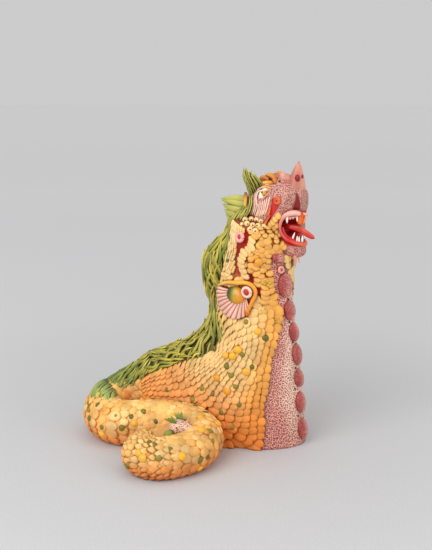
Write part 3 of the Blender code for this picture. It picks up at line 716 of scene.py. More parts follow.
def setting_tree():
    """A tree that sets a stamp on every point, turned, sized and painted as the point says."""
    g, (points, stamp, paint, factor) = new_tree(
        "set_pads", {"Points": "Geometry", "Stamp": "Object", "Paint": "Material", "Size Factor": "Float"}, "Pads")

    def vector(name):
        return g.add("GeometryNodeInputNamedAttribute", {"data_type": "FLOAT_VECTOR"}, {"Name": name})

    turn = g.add("FunctionNodeAxesToRotation", {"primary_axis": "Z", "secondary_axis": "Y"},
                 {"Primary Axis": vector("facing"), "Secondary Axis": vector("fall")})
    size = g.add("ShaderNodeVectorMath", {"operation": "SCALE"}, {0: vector("size"), "Scale": factor})
    shape = g.add("GeometryNodeObjectInfo", None, {"Object": stamp}, out="Geometry")
    pads = g.add("GeometryNodeInstanceOnPoints", None,
                 {"Points": points, "Instance": shape, "Rotation": turn, "Scale": size})
    real = g.add("GeometryNodeRealizeInstances", None, {"Geometry": pads})
    smooth = g.add("GeometryNodeSetShadeSmooth", None, {"Geometry": real})
    return close_tree(g, smooth, paint)


def grow(name, mesh, tree, inputs):
    """Run a tree on a mesh and keep what it grows as a plain mesh."""
    obj = put(name, mesh)
    growth = obj.modifiers.new("growth", "NODES")
    growth.node_group = tree
    for item in tree.interface.items_tree:
        if item.in_out == "INPUT" and item.name in inputs:
            growth[item.identifier] = inputs[item.name]
    make_plain(obj)
    return obj


def set_pads(name, stamp, spots, paint, factor=1.0):
    """Stamps on spots: rows of place, facing, fall, size and tint."""
    place, facing, fall, size, tint = (np.asarray(v) for v in spots)
    mesh = new_mesh(name, place)
    for label, values in (("facing", facing), ("fall", fall), ("size", size), ("tint", tint)):
        put_attribute(mesh, label, values)
    keep(grow(name, mesh, PAD_TREE, {"Stamp": stamp, "Paint": paint, "Size Factor": factor}),
         f"from {len(place)} pads")


PAD_TREE = setting_tree()
SCALE_PROFILE = ((0.92, -1.2, 1), (1.0, -0.1, 1), (0.985, 0.34, 0.7), (0.88, 0.68, 0.2), (0.58, 0.9, 0), (0, 1.0, 0))
SCALE_STAMP = make_stamp("scale_stamp", SCALE_PROFILE, 11, lean=(-0.58, 0.34))
ROUND_STAMP = make_stamp("round_stamp", ((0.9, -0.9, 1), (1.0, 0.0, 0.9), (0.86, 0.5, 0.5), (0.5, 0.87, 0.1),
                                         (0, 1.0, 0)), 12)


# %% Scales of both flanks
def chain(place_of, start, end, pitch, offset):
    """Places along one column, a pitch of length apart, started an offset further on."""
    fine = np.linspace(start, end, 900)
    line = skin(fine, place_of(fine))
    run = run_along(line)
    return np.interp(np.arange(offset, run[-1], pitch), run, fine)


def bare_edge(u, near):
    """Degrees at which the belly begins; on the far side the scales run on round the throat."""
    over = np.interp(u, (0.3, 0.5, 1.2, 1.5, 1.75, 2.3), (358, 388, 390, 382, 349, 322))
    return belly_edge(u) if near else np.maximum(belly_edge(u), over)


def flank_spots(near):
    """Scales in columns that run down the neck and along the body, broad by the belly, narrow by the mane."""
    places = []
    for start, end, count, pitch, taper in ((0.0, COIN_END + 0.12, 9, 0.0094, 0.25),
                                            (COIN_END, 4.62, 13, 0.0132, 0.95),
                                            (4.5, 6.9, 17, 0.0128, 0.75),
                                            (6.82, 10.7 if near else 11.9, 12, 0.0125, 0.7)):
        count, pitch = (count, pitch) if near else (count - 2, 1.2 * pitch)
        edges = np.cumsum(np.concatenate(([0], 1 + taper * (0.5 - np.arange(count) / (count - 1)))))
        edges /= edges[-1]
        for j in range(count):
            share = (edges[j] + edges[j + 1]) / 2

            def place_of(u):
                bare = bare_edge(u, near)
                return bare - 1 + (mane_inner(u) + 1 - bare) * share

            along = chain(place_of, start, end, pitch * (1 + 0.15 * (j == 0)), pitch * (0.5 if j % 2 else 0.05))
            degrees = place_of(along)
            arc = np.linalg.norm(skin(along, degrees + 4) - skin(along, degrees - 4), axis=1) / 8
            wide = arc * np.abs(mane_inner(along) - bare_edge(along, near)) * (edges[j + 1] - edges[j])
            places += list(zip(along, degrees, wide, np.full(len(along), pitch), np.full(len(along), share)))
    u, degrees, wide, pitch, share = np.array(places).T
    loose = np.interp(u, (1.8, 2.6), (0.32, 0.08))
    u = u + rng.normal(0, 1, len(u)) * loose * pitch / STEP_LENGTH * 0.5
    degrees = degrees + rng.normal(0, 1, len(u)) * loose * wide * 900 * 0.5
    if not near:
        degrees = 360 - degrees
    facing, along, turned = skin_axes(u, degrees)
    coin = (1 - ease(u, 1.9, 2.7))[:, None]
    along = unit(along + np.outer(1.6 * ease(u, 5.0, 7.5), (0, 0, -1))
                 + turned * rng.normal(0, 0.3, (len(u), 1)) * coin)
    facing = unit(facing + coin * rng.normal(0, 0.11, (len(u), 3)))
    snug = np.where(u < COIN_END, np.interp(u, (0.3, 0.7), (0.55, 0.64)) if near else 0.74, 0.75)
    size = np.stack((np.clip(wide, 0.006, 0.0165) * snug, np.maximum(pitch * snug, 0.48 * np.minimum(wide, 0.0165)),
                     0.0026 + 0.13 * np.minimum(wide, pitch)), axis=1)
    size *= rng.uniform(0.94, 1.12, (len(u), 1))
    return u, degrees, facing, along, turned, size, share


def scale_tint(u, share, z):
    """Amber coins high on the neck, cream on the flank, peach on the body and orange toward the floor."""
    tint = GOLD[None] * np.ones((len(u), 1))
    flank = ease(share, 0.1, 0.42)[:, None]
    tint = blend(tint, CREAM, flank)
    high = (1 - ease(u, 1.2, 2.3))[:, None] * (1 - 0.8 * ease(share, 0.55, 0.75)[:, None])
    tint = blend(tint, tone(244, 182, 92), high)
    body = ease(u, 5.2, 7.6)[:, None]
    tint = blend(tint, tone(242, 176, 104), body)
    low = 0.9 * ease(z, 0.16, 0.01)[:, None]
    tint = blend(tint, tone(238, 136, 44), low)
    return tint * rng.uniform(0.88, 1.08, (len(u), 1))


FAN_HUB = (1.92, 264)                   # along and degrees of the fan's middle


def fan_reach(turn):
    """How far the fan's blade reaches from its hub, at a turn in degrees."""
    return np.interp(turn, (0, 20, 45, 70, 85, 100, 112), (0.05, 0.059, 0.062, 0.059, 0.05, 0.038, 0.028))


def finger_line(u):
    """Degrees at which the fingers along the groove's edge stand."""
    return np.interp(u, (0.2, 0.45, 0.7, 0.9, 1.05, 1.45), (268, 266, 260.5, 256.5, 256, 260.5))


def clear_of_ornament(u, degrees):
    """True away from the fan, the groove and the strips beside it."""
    across, down = (FAN_HUB[1] - degrees) * NECK_RADIUS * pi / 180, (u - FAN_HUB[0]) * STEP_LENGTH
    reach, turn = np.hypot(across, down), np.degrees(np.arctan2(down, across))
    fan = (reach < fan_reach(turn)) & (turn > -2) & (turn < 116)
    strips = (u < 1.32) & (degrees < 249) | (np.hypot((u - 0.3) * STEP_LENGTH, (degrees - 246) * 0.001) < 0.01)
    fingers = (u < 1.5) & (degrees < finger_line(u) + 4.5)
    torn = np.maximum.reduce([groove(u, degrees + k) for k in (-2, 0, 2)])
    return ~(fan | strips | fingers | (reach < 0.016)) & (torn < 0.35)


def flank_scales(name, near):
    """The coins of the upper neck and the scales of the flank below them."""
    u, degrees, facing, along, _, size, share = flank_spots(near)
    place = skin(u, degrees, -0.0002)
    wanted = place[:, 2] > -0.002
    if near:
        wanted &= clear_of_ornament(u, degrees)
    tint = scale_tint(u, share, place[:, 2])
    if not near:
        tint[u < 1.9] = tone(250, 216, 144)
    for part, stamp, chosen in (("coins", COIN_STAMP, wanted & (u < COIN_END)),
                                ("scales", SCALE_STAMP if near else FAR_SCALE_STAMP, wanted & (u >= COIN_END))):
        set_pads(f"{name}_{part}", stamp, [v[chosen] for v in (place, facing, along, size, tint)], paint_scales)


COIN_END = 2.35
COIN_STAMP = make_stamp("coin_stamp", SCALE_PROFILE, 12, lean=(0.12, 0.55))
FAR_SCALE_STAMP = make_stamp("far_scale_stamp", SCALE_PROFILE, 11, lean=(0.58, 0.34))
flank_scales("near", True)
flank_scales("far", False)

# %% Fingers of clay along the groove
finger_u = np.arange(0.2, 1.5, 0.14)
finger_degrees = finger_line(finger_u) + 1 + rng.normal(0, 1.1, len(finger_u))
finger_out, finger_along, finger_turned = skin_axes(finger_u, finger_degrees)
finger_size = np.array(((0.0056, 0.0092, 0.004),)) * rng.uniform(0.82, 1.15, (len(finger_u), 1))
set_pads("groove_fingers", COIN_STAMP, (
    skin(finger_u, finger_degrees, 0.0006), finger_out, unit(finger_turned + 0.55 * finger_along), finger_size,
    CREAM * rng.uniform(0.92, 1.04, (len(finger_u), 1))), paint_scales)

# %% [markdown]
# ## The coil: broad soft pads and a leafy tail
# On the coil the scales change. Most of it wears broad, nearly flat pads in
# cream and peach that melt into each other; toward the tail they narrow and
# stand up like the leaves of an artichoke. The same stamp serves for both,
# only the sizes and the lean differ.

# %% Pads of the coil
def inside_box(place, room):
    """Places moved in where less than this room is left to the frame box's front and left faces."""
    return np.maximum(place, np.append(np.array(frame_box[0][:2]) + room, -1.0))


def coil_lattice(start, end, pitch, wide):
    """Staggered places right round the tube."""
    places = []
    for row, u in enumerate(middle_places(start, end, pitch)):
        radius = spline(SECTIONS, u)[6:9]
        count = max(6, round(tau * np.linalg.norm(radius) / wide))
        degrees = (np.arange(count) + 0.5 * (row % 2)) / count * 360
        places += [(u, d) for d in degrees]
    u, degrees = np.array(places).T
    return u + rng.normal(0, 0.02, len(u)), degrees + rng.normal(0, 1.5, len(u))


def coil_spots(start, end, pitch, wide, thick, tints):
    """Spots for pads on the coil, with tints picked at random, warmed near the floor and turned deep orange as
    painted shade in the crease by the body.
    """
    u, degrees = coil_lattice(start, end, pitch, wide)
    facing, along, _ = skin_axes(u, degrees)
    place = inside_box(skin(u, degrees, -0.0014), 1.45 * thick)
    size = np.stack((np.full(len(u), wide * 0.62), np.full(len(u), pitch * 0.95), np.full(len(u), thick)), axis=1)
    size *= rng.uniform(0.85, 1.15, (len(u), 1))
    tint = pick(tints, len(u))
    low = (0.9 * ease(place[:, 2], 0.055, 0.004))[:, None]
    tint = blend(tint, tone(234, 134, 50), low)
    # painted shade: pads in the crease between the body and the coil turn deep orange
    crease = (ease(u, 11.0, 11.8) * ease(13.0 - u, 0, 0.8) * ease(degrees, 226, 240)
              * ease(280 - degrees, 0, 20))
    tint = blend(tint, tone(222, 124, 48), crease[:, None])
    wanted = (place[:, 2] > 0.001) & ((u > 11.6) | (degrees > mane_inner(u)) & (degrees < 330))
    return [v[wanted] for v in (place, facing, along, size, tint)]


SOFT_STAMP = make_stamp("soft_stamp", ((0.92, -1.6, 0.9), (1.0, -0.2, 0.7), (0.84, 0.45, 0.35), (0.5, 0.82, 0.1),
                                       (0, 1.0, 0)), 14, lean=(0.0, 0.45))
LEAF_STAMP = make_stamp("leaf_stamp", ((0.86, -1.0, 1), (1.0, -0.1, 1), (0.92, 0.45, 0.8), (0.55, 0.85, 0.15),
                                       (0, 1.0, 0)), 12, lean=(0.0, 0.75), point=0.35)
LUMP_STAMP = make_stamp("lump_stamp",
                        ((0.9, -0.9, 0.6), (1.0, 0.0, 0.5), (0.86, 0.5, 0.2), (0.5, 0.87, 0), (0, 1.0, 0)), 14)
soft_tints = tones((246, 200, 122), (242, 190, 108), (250, 212, 144), (244, 194, 114))
paint_soft = painted("soft_scales", shade_colour=SHADE_ORANGE, rim_shade_share=0.55, mottle=0.26)
set_pads("coil_pads", SOFT_STAMP, coil_spots(10.3, 22.5, 0.013, 0.0155, 0.0033, soft_tints), paint_soft)
tail_tints = (CREAM, tone(248, 204, 128), tone(240, 184, 98), tone(245, 196, 116))
set_pads("tail_leaves", LEAF_STAMP, coil_spots(22.2, 25.6, 0.008, 0.0108, 0.0038, tail_tints), paint_scales)

# %% Lumps in the crease
lump_u = np.array((11.5, 11.9, 12.2, 11.8, 12.5, 11.3, 12.0))
lump_degrees = np.array((236.0, 232, 244, 248, 238, 250, 258))
lump_out, lump_along, _ = skin_axes(lump_u, lump_degrees)
lump_sizes = np.array((0.008, 0.007, 0.0065, 0.006, 0.007, 0.006, 0.0055))[:, None] * np.array(((1.3, 1.4, 0.55),))
lump_tints = np.array(tones((246, 184, 104), (242, 166, 84), (246, 190, 116), (238, 150, 70)) * 2)[:7]
set_pads("crease_lumps", LUMP_STAMP, (skin(lump_u, lump_degrees, 0.0), lump_out, lump_along, lump_sizes,
                                                     lump_tints), paint_soft)

# %% [markdown]
# ## Studs
# Round studs are scattered over the scales: yellow ones like drops and
# smaller olive ones like peppercorns. The large ones are listed one by one, at
# so much along and so much round, and the small ones fall where the seeded
# dice say, but never too close together.

# %% Yellow and olive studs
YELLOW_STUDS = ((2.95, 284), (3.7, 262), (4.1, 250), (4.0, 258), (4.35, 276), (5.5, 264), (5.25, 252), (0.98, 284),
                (15.5, 139), (16.9, 108), (22.0, 248), (20.9, 194), (20.0, 176), (18.7, 128), (23.4, 236))
OLIVE_STUDS = ((3.1, 294), (3.8, 268), (4.5, 256), (4.75, 263), (5.1, 270), (5.7, 276), (4.1, 281), (6.1, 254),
               (6.3, 245), (6.5, 265), (7.2, 246), (16.1, 129), (14.9, 100), (15.6, 92), (16.4, 98), (17.9, 112),
               (17.3, 140), (15.0, 141), (14.3, 129), (23.1, 198), (22.7, 244), (22.3, 222), (21.5, 272),
               (20.9, 236), (19.2, 192), (19.7, 200), (23.8, 277))


def studs(name, placed, scattered, radius, tints, paint):
    """Studs at the placed spots and at scattered ones."""
    u, degrees = np.array(list(placed) + scattered).T
    facing, along, _ = skin_axes(u, degrees)
    coil = u > BODY_END
    place = inside_box(skin(u, degrees, np.where(coil, -0.0004, 0.003)), 0.74 * radius)
    size = radius * rng.uniform(0.85, 1.12, (len(u), 1)) * np.array(((1.0, 1.0, 0.62),))
    tint = pick(tints, len(u))
    set_pads(name, ROUND_STAMP, (place, facing, along, size, tint), paint)


def scatter(count, gap, hidden_side):
    """Seeded spots over flank and coil, kept apart; hidden_side takes only the side away from the fan."""
    spots, found = [], []
    while len(spots) < count:
        u = rng.uniform(2.6, 24.5)
        degrees = rng.uniform(20, 158) if u < 11.5 else rng.uniform(0, 360)
        if not hidden_side and u < 11.5:
            degrees = rng.uniform(232, 296)
        point = skin(u, degrees)
        if point[2] < 0.012 or any(np.linalg.norm(point - p) < gap for p in found):
            continue
        found.append(point)
        spots.append((u, degrees))
    return spots


PETAL_REACH = 0.0042                    # from a blossom's middle to its balls
DEGREE_LENGTH = 0.00098                 # metres round the neck for each degree


def flowers(spots):
    """Five little balls round each spot, like a blossom pressed from peas."""
    found = []
    for u, degrees in spots:
        for a in np.arange(5) / 5 * tau:
            found.append((u + PETAL_REACH * sin(a) / STEP_LENGTH, degrees + PETAL_REACH * cos(a) / DEGREE_LENGTH))
    return found


paint_studs = painted("stud_paint", shade_colour=SHADE_ORANGE, rim_shade_share=0.5, roughness=0.45, mottle=0.1)
studs("yellow_studs", YELLOW_STUDS, scatter(16, 0.05, True), 0.0078,
                     (LEMON, tone(246, 190, 70), tone(240, 168, 56)), paint_studs)
studs("flower_studs", flowers(((2.39, 293), (2.6, 314), (1.59, 298))), [], 0.0032,
                     tones((214, 184, 56), (200, 170, 50)), paint_studs)
paint_olives = painted("olive_paint", shade_colour=SHADE_OLIVE, rim_shade_share=0.8, roughness=0.45, mottle=0.2)
studs("olive_studs", OLIVE_STUDS, scatter(26, 0.034, True) + scatter(8, 0.03, False), 0.006,
                    tones((128, 122, 32), (150, 138, 40), (104, 106, 24)), paint_olives)

# %% [markdown]
# ## The mane
# The mane is made of rolled strands, each thick as a pencil lead at the root
# and drawn out to a point. Hair tools would work too, but a rolled strand of
# clay lies where it is put: so each strand is a short path over the swelling
# of the spine, and Geometry Nodes turns every path into a tapered rod.

# %% The tree that rolls strands
def rolling_tree():
    """A tree that turns each path into a round strand as thick as its points say."""
    g, (paths, sides, paint) = new_tree(
        "roll_strands", {"Paths": "Geometry", "Sides": "Int", "Paint": "Material"}, "Strands")
    curves = g.add("GeometryNodeMeshToCurve", None, {"Mesh": paths})
    ring = g.add("GeometryNodeCurvePrimitiveCircle", None, {"Resolution": sides, "Radius": 1.0})
    thick = g.add("GeometryNodeInputNamedAttribute", {"data_type": "FLOAT"}, {"Name": "thick"})
    rods = g.add("GeometryNodeCurveToMesh", None,
                 {"Curve": curves, "Profile Curve": ring, "Scale": thick, "Fill Caps": True})
    smooth = g.add("GeometryNodeSetShadeSmooth", None, {"Geometry": rods})
    real = g.add("GeometryNodeRealizeInstances", None, {"Geometry": smooth})
    return close_tree(g, real, paint)


ROLL_TREE = rolling_tree()


def roll_strands(name, paths, thick, tints, paint, sides=7):
    """Strands along paths: arrays of strand, point, xyz, with a thickness and a tint for every point."""
    count, steps = paths.shape[:2]
    edges = [(s * steps + k, s * steps + k + 1) for s in range(count) for k in range(steps - 1)]
    mesh = new_mesh(name, paths.reshape(-1, 3), edges=edges)
    put_attribute(mesh, "thick", thick.ravel())
    put_attribute(mesh, "tint", tints.reshape(-1, 3))
    keep(grow(name, mesh, ROLL_TREE, {"Sides": sides, "Paint": paint}), f"from {count} strands")


# %% Upright strips between the mane and the groove
def make_strips():
    """Long thin scales, end to end, in upright rows."""
    paths, thick, tints = [], [], []
    shades = tones((252, 234, 190), (252, 228, 176), (250, 218, 154), (246, 200, 130))
    for column in range(8):
        u = rng.uniform(-0.2, 0.05)
        while u < 1.42:
            long = rng.uniform(0.2, 0.4)
            t = np.linspace(0, 1, STRAND_STEPS)
            run = np.clip(u + long * t, 0, 1.52)
            degrees = mane_inner(run) + 1 + 4.4 * column + 0.8 * np.sin(5 * run + column)
            u += 0.86 * long
            if np.any(groove(run, degrees) > 0.3) or np.any(degrees > finger_line(run) - 7):
                continue
            paths.append(skin(run, degrees, 0.001 + 0.002 * t))
            thick.append(0.0028 * np.interp(t, (0, 0.12, 0.5, 0.88, 1), (0.5, 0.95, 1.0, 0.95, 0.45)))
            tints.append(np.tile(shades[rng.integers(0, 4)], (STRAND_STEPS, 1)))
    roll_strands("neck_strips", np.array(paths), np.array(thick), np.array(tints), paint_strips)


STRAND_STEPS = 11
paint_strips = painted("strip_paint", shade_colour=SHADE_ORANGE, roughness=0.5, mottle=0.15, deep=0.85)
make_strips()

# %% Combing the mane
spine_fine = np.linspace(0.0, 13.7, 3000)
spine_run = run_along(skin(spine_fine, 180.0))


def spine_place(run):
    """Place along the skin for a length run down the spine."""
    return np.interp(run, spine_run, spine_fine)


def comb(roots, sides, offs, lengths, layers, rises, wave):
    """Paths of strands that start at their roots and sweep up toward the head and the crest."""
    t = np.linspace(0, 1, STRAND_STEPS)[None]
    run = roots[:, None] - lengths[:, None] * t
    u = spine_place(np.clip(run, 0, spine_run[-1]))
    here = mane_reach(u, sides[:, None] > 0)
    off = offs[:, None] * here * (1 - (0.42 - 0.24 * offs[:, None]) * ease(t, 0.0, 1.0))
    phase = rng.normal(0, 0.5, len(roots))[:, None] + 40 * roots[:, None] + 2.2 * offs[:, None]
    off = off + wave[:, None] * np.sin(t * 4.6 + phase)
    degrees = 180 + sides[:, None] * off
    bed = np.maximum(mane_swell(u, degrees) - 0.003, -0.001)
    tuck = -0.005 * (1 - ease(t, 0.0, 0.35))
    lift = bed + layers[:, None] * ease(t, 0, 0.3) + tuck + rises[:, None] * t ** 2.2 + 0.0008 * np.sin(t * 7 + phase)
    return skin(u, degrees, lift), t


def strand_tints(count, t, tips, middles, roots):
    """Colour along every strand, from its dark root, painted shade under the strands that lie over it, to its bright
    tip.
    """
    tip, mid, root = (pick(tints, count)[:, None] for tints in (tips, middles, roots))
    s = np.broadcast_to(t, (count, t.shape[1]))[..., None]
    low, high = ease(s, 0.0, 0.4), ease(s, 0.45, 1.0)
    return blend(blend(root, mid, low), tip, high)


def make_mane():
    """Rows of strands combed side by side, each row lying over the roots of the next."""
    run, side, off = [], [], []
    for k, start in enumerate(np.arange(0.016, spine_run[-1] * 0.985, 0.0265)):
        u = spine_place(start)
        for way in (1.0, -1.0):
            reach = float(mane_reach(u, way > 0))
            wide = np.linalg.norm(skin(u, 180 + way * reach) - skin(u, 180.0)) + 1.3 * float(mane_height(u))
            count = max(4, round(wide / 0.0057))
            at = (np.arange(count) + 0.25 + 0.5 * (k % 2)) / count * 1.12
            run += [start] * count
            side += [way] * count
            off += list(at)
    run, side, off = (np.array(v, float) for v in (run, side, off))
    count = len(run)
    run += rng.normal(0, 0.005, count)
    off = np.clip(off + rng.normal(0, 0.02, count), 0, 1.16)
    neck = 1 - ease(run, 0.2, 0.32)
    lengths = np.minimum(rng.uniform(0.038, 0.054, count) * (1 + 0.45 * neck), 0.6 * run + 0.012)
    rises = rng.uniform(0.0, 0.0022, count) + 0.009 * (off < 0.22) * rng.random(count) ** 2
    paths, t = comb(run, side, off, lengths, rng.uniform(-0.002, 0.0026, count), rises,
                       rng.uniform(2.5, 6.0, count))
    body = np.interp(np.linspace(0, 1, STRAND_STEPS), (0, 0.12, 0.45, 0.75, 0.93, 1),
                     (0.7, 0.95, 1.0, 0.85, 0.5, 0.1))
    thick = rng.uniform(0.0027, 0.0035, count)[:, None] * body[None]
    tints = strand_tints(count, t, tones((210, 202, 92), (230, 220, 120), (188, 182, 74), (220, 200, 90)),
                         tones((172, 168, 64), (140, 144, 48), (194, 186, 80), (118, 126, 44)),
                         tones((84, 88, 34), (74, 98, 58), (98, 92, 34)))
    tail = ease(run, spine_run[-1] * 0.8, spine_run[-1] * 0.97)[:, None, None]
    tints = blend(tints, tone(104, 140, 74), 0.7 * tail)
    roll_strands("mane_strands", paths, thick, tints, paint_mane)


make_mane()


# %% Blue-green curls where the mane runs out on the coil
def make_curls():
    """Two layers of short curls that spill from the end of the mane over the outer side of the coil."""
    t = np.linspace(0, 1, STRAND_STEPS)
    paths, thick = [], []
    for layer, count in ((0, 11), (1, 9)):
        for k in np.linspace(0, 1, count):
            root = np.array((12.75 + 1.2 * k - 0.25 * layer, 158 + 54 * k)) + rng.normal(0, (0.05, 2.5))
            tip = np.array((13.95 + 1.65 * k - 0.45 * layer, 130 + 38 * k + 8 * layer)) + rng.normal(0, (0.1, 3.0))
            u, degrees = (root + np.outer(t, tip - root)
                          + np.outer(np.sin(pi * t), (0.16, 5.0)) * rng.uniform(0.3, 1.2)).T
            paths.append(skin(u, degrees, -0.002 + (0.0048 + 0.002 * layer) * np.sin(pi * (0.15 + 0.75 * t))))
            thick.append(rng.uniform(0.0029, 0.0037) * np.interp(t, (0, 0.2, 0.7, 0.93, 1), (0.7, 1, 0.9, 0.5, 0.1)))
    tints = strand_tints(len(paths), t[None], tones((204, 208, 124), (172, 192, 118)),
                         tones((146, 166, 92), (164, 166, 80)), tones((80, 108, 66), (96, 108, 54)))
    roll_strands("mane_curls", np.array(paths), np.array(thick), tints, paint_mane)


make_curls()

# %% [markdown]
# ## The bare belly and its plates
# Down the front runs a bare band, pink and closely pricked, with a row of
# oval plates along its middle. The band is a thin skin of its own, so that it
# can wear the pricked paint; its edges dive under the scales.

# %% The pricked belly
def blush_of(u, degrees, z):
    """Where the belly is redder: at the foot, and along the scales and up under the chin, where the red is in part
    painted shade from their overhang.
    """
    off = np.mod(degrees + 180, 360) - 180
    edge = np.mod(belly_edge(u) + 180, 360) - 180
    from_scales = np.abs(off) / np.abs(edge)
    return np.clip(0.24 + 0.6 * ease(from_scales, 0.45, 1.0) + 0.4 * ease(z, 0.12, 0.0)
                   + 0.55 * ease(z, 0.28, 0.38), 0, 1)


def sheet_solid(grid, depth):
    """Points and faces of a thin solid: the grid, and the same grid set back by depth."""
    rows, columns = grid.shape[:2]
    back = grid - depth
    points = np.vstack((grid.reshape(-1, 3), back.reshape(-1, 3)))
    far = rows * columns
    faces = []
    for i in range(rows - 1):
        for j in range(columns - 1):
            a = i * columns + j
            quad = (a, a + 1, a + columns + 1, a + columns)
            faces += [quad, tuple(far + q for q in reversed(quad))]
    loop = ([(0, j) for j in range(columns)] + [(i, columns - 1) for i in range(1, rows)]
            + [(rows - 1, j) for j in range(columns - 2, -1, -1)] + [(i, 0) for i in range(rows - 2, 0, -1)])
    ids = [i * columns + j for i, j in loop]
    for a, b in zip(ids, ids[1:] + ids[:1]):
        faces.append((a, b, far + b, far + a))
    return points, faces


def make_belly():
    """The pricked band from the chin to the floor."""
    places = np.linspace(0.0, 6.9, 200)
    share = np.linspace(-1, 1, 64)
    u = places[:, None] + 0 * share[None]
    edge = np.mod(belly_edge(places) + 180, 360)[:, None] - 180
    degrees = -share[None] * (edge - 3)
    low = ease(np.abs(share), 1.0, 0.93)[None]
    grid = skin(u, degrees, 0.0012 * low - 0.0012)
    out, _, _ = skin_axes(u, degrees)
    points, faces = sheet_solid(grid, out * 0.0035)
    blush = blush_of(u, degrees, grid[..., 2])
    clay = Clay()
    pale = tone(252, 218, 208)
    clay.add(points, faces, pale)
    obj = clay.piece("belly_band", paint_belly)
    put_attribute(obj.data, "blush", np.concatenate((blush.ravel(), blush.ravel())))
    across = np.cumsum(np.linalg.norm(np.diff(grid, axis=1, prepend=grid[:, :1]), axis=2), axis=1)
    across -= across[:, 32:33]
    down = np.cumsum(np.linalg.norm(np.diff(grid[:, 32], axis=0, prepend=grid[:1, 32]), axis=1))
    weave = np.stack((across, down[:, None] + 0 * across, 0 * across), axis=2).reshape(-1, 3)
    put_attribute(obj.data, "weave", np.vstack((weave, weave)))
    keep(obj)


make_belly()


# %% Belly plates
PLATES = ((0.71, 317, 0.013, 0.009), (1.66, 333, 0.0165, 0.0235), (2.36, 341, 0.0155, 0.019),
          (2.94, 348, 0.015, 0.018), (3.55, 351, 0.0165, 0.0205), (4.2, 350, 0.015, 0.0172),
          (4.88, 350, 0.016, 0.021), (5.59, 352, 0.016, 0.021))
PITS = ((2.06, 340), (2.66, 338), (3.21, 342), (3.91, 343), (4.49, 338), (5.24, 342))


def make_plates():
    """Oval plates down the belly, each of its own size, with a dark pit between each two."""
    clay, pits = Clay(), Clay()
    for u, degrees, wide, tall in PLATES:
        out, along, turned = skin_axes(u, degrees)
        centre = skin(u, degrees, 0.0012)
        points, faces = ball(centre, (wide, tall, 0.0085), (turned, along, out), 24, 14)
        local = (points - centre) @ np.stack((turned, along, out), axis=1)
        # painted shade: each plate turns dark red toward one side
        shade = ease(local[:, 0] / wide, 0.3, -0.8)[:, None]
        clay.add(points, faces, blend(tone(236, 168, 164), tone(176, 66, 66), shade))
    for u, degrees in PITS:
        out, along, turned = skin_axes(u, degrees)
        pits.add(*ball(skin(u, degrees, 0.0014), (0.0021, 0.0019, 0.0012), (turned, along, out), 10, 6),
                 tone(50, 8, 8))
    plates = clay.piece("belly_plates", paint_belly_plates)
    put_attribute(plates.data, "blush", np.full(len(plates.data.vertices), 0.35))
    keep(plates)
    keep(pits.piece("belly_pits", paint_gloss))


paint_belly_plates = painted("pricked_plates", shade_colour=WINE, dress=pricks, roughness=0.45)
make_plates()

# %% [markdown]
# ## The fan on the neck
# On the flank of the neck opens a ribbed fan with a great green eye in it.
# It is laid out like a clock face on the skin: a distance from the hub and a
# turn. The ribs are one folded sheet; the eye, its ring and the golden rim
# are set on top.

# %% The fan's own clock face
def fan_place(radius, turn, lift):
    """A point of the fan, at a distance and a turn (0 toward the mane, 90 down) from its hub."""
    turn = np.radians(turn)
    u = FAN_HUB[0] + radius * np.sin(turn) / STEP_LENGTH
    return skin(u, FAN_HUB[1] - np.degrees(radius * np.cos(turn) / NECK_RADIUS), lift)


def lay(clay, path, radii, tints, sides=8, flat=1.0, up=(0, 0, 1)):
    """A rod along a path, its paint passing through the tints."""
    path = np.asarray(path, float)
    points, faces = rod(path, radii, sides, flat, up)
    share = np.argmin(np.linalg.norm(points[:, None] - path[None], axis=2), axis=1) / (len(path) - 1)
    tints = np.atleast_2d(tints)
    stops = np.linspace(0, 1, len(tints))
    clay.add(points, faces, np.stack([np.interp(share, stops, tints[:, c]) for c in range(3)], axis=1))


ROUND_ENDS = np.array((0, 0.75, 0.95, 1, 1, 1, 1, 1, 0.95, 0.75, 0))
POINTED_END = np.array((0.5, 0.9, 1, 1, 0.95, 0.8, 0.55, 0))
FAN_OUT = skin_axes(*FAN_HUB)[0]
paint_pale = painted("pale_ribs", shade_colour=ROSE, rim_shade_share=0.85, roughness=0.45)


FAN_RIM = ((1.94, 215), (1.83, 227), (1.74, 238), (1.69, 253), (1.64, 266), (1.69, 276), (1.86, 281), (2.08, 278),
           (2.27, 274), (2.46, 269))


def make_fan():
    """The ribbed blade: a thin solid folded into thirteen ribs."""
    ribs, turns = 13, np.linspace(2, 112, 144)
    share = np.linspace(0, 1, 12)
    rib = np.abs(np.sin((turns - 2) / 110 * ribs * pi)) ** 0.6
    reach = fan_reach(turns) * (0.955 + 0.045 * rib)
    radius = 0.012 + (reach[:, None] - 0.012) * share[None]
    lift = 0.0035 + 0.0036 * rib[:, None] * (0.4 + 0.6 * share[None]) + 0.0025 * np.sin(pi * share[None] * 0.8)
    grid = fan_place(radius, turns[:, None], lift)
    points, faces = sheet_solid(grid, grid - fan_place(radius, turns[:, None], lift - 0.008))
    clay = Clay()
    # painted shade: the grooves between the ribs get a high rim value, so the paint darkens them toward rose
    rim = np.tile((1 - ease(rib, 0.35, 0.85))[:, None], (1, 12)).ravel()
    clay.add(points, faces, tone(246, 204, 196), np.concatenate((rim, rim)))
    keep(clay.piece("fan_blade", paint_pale))


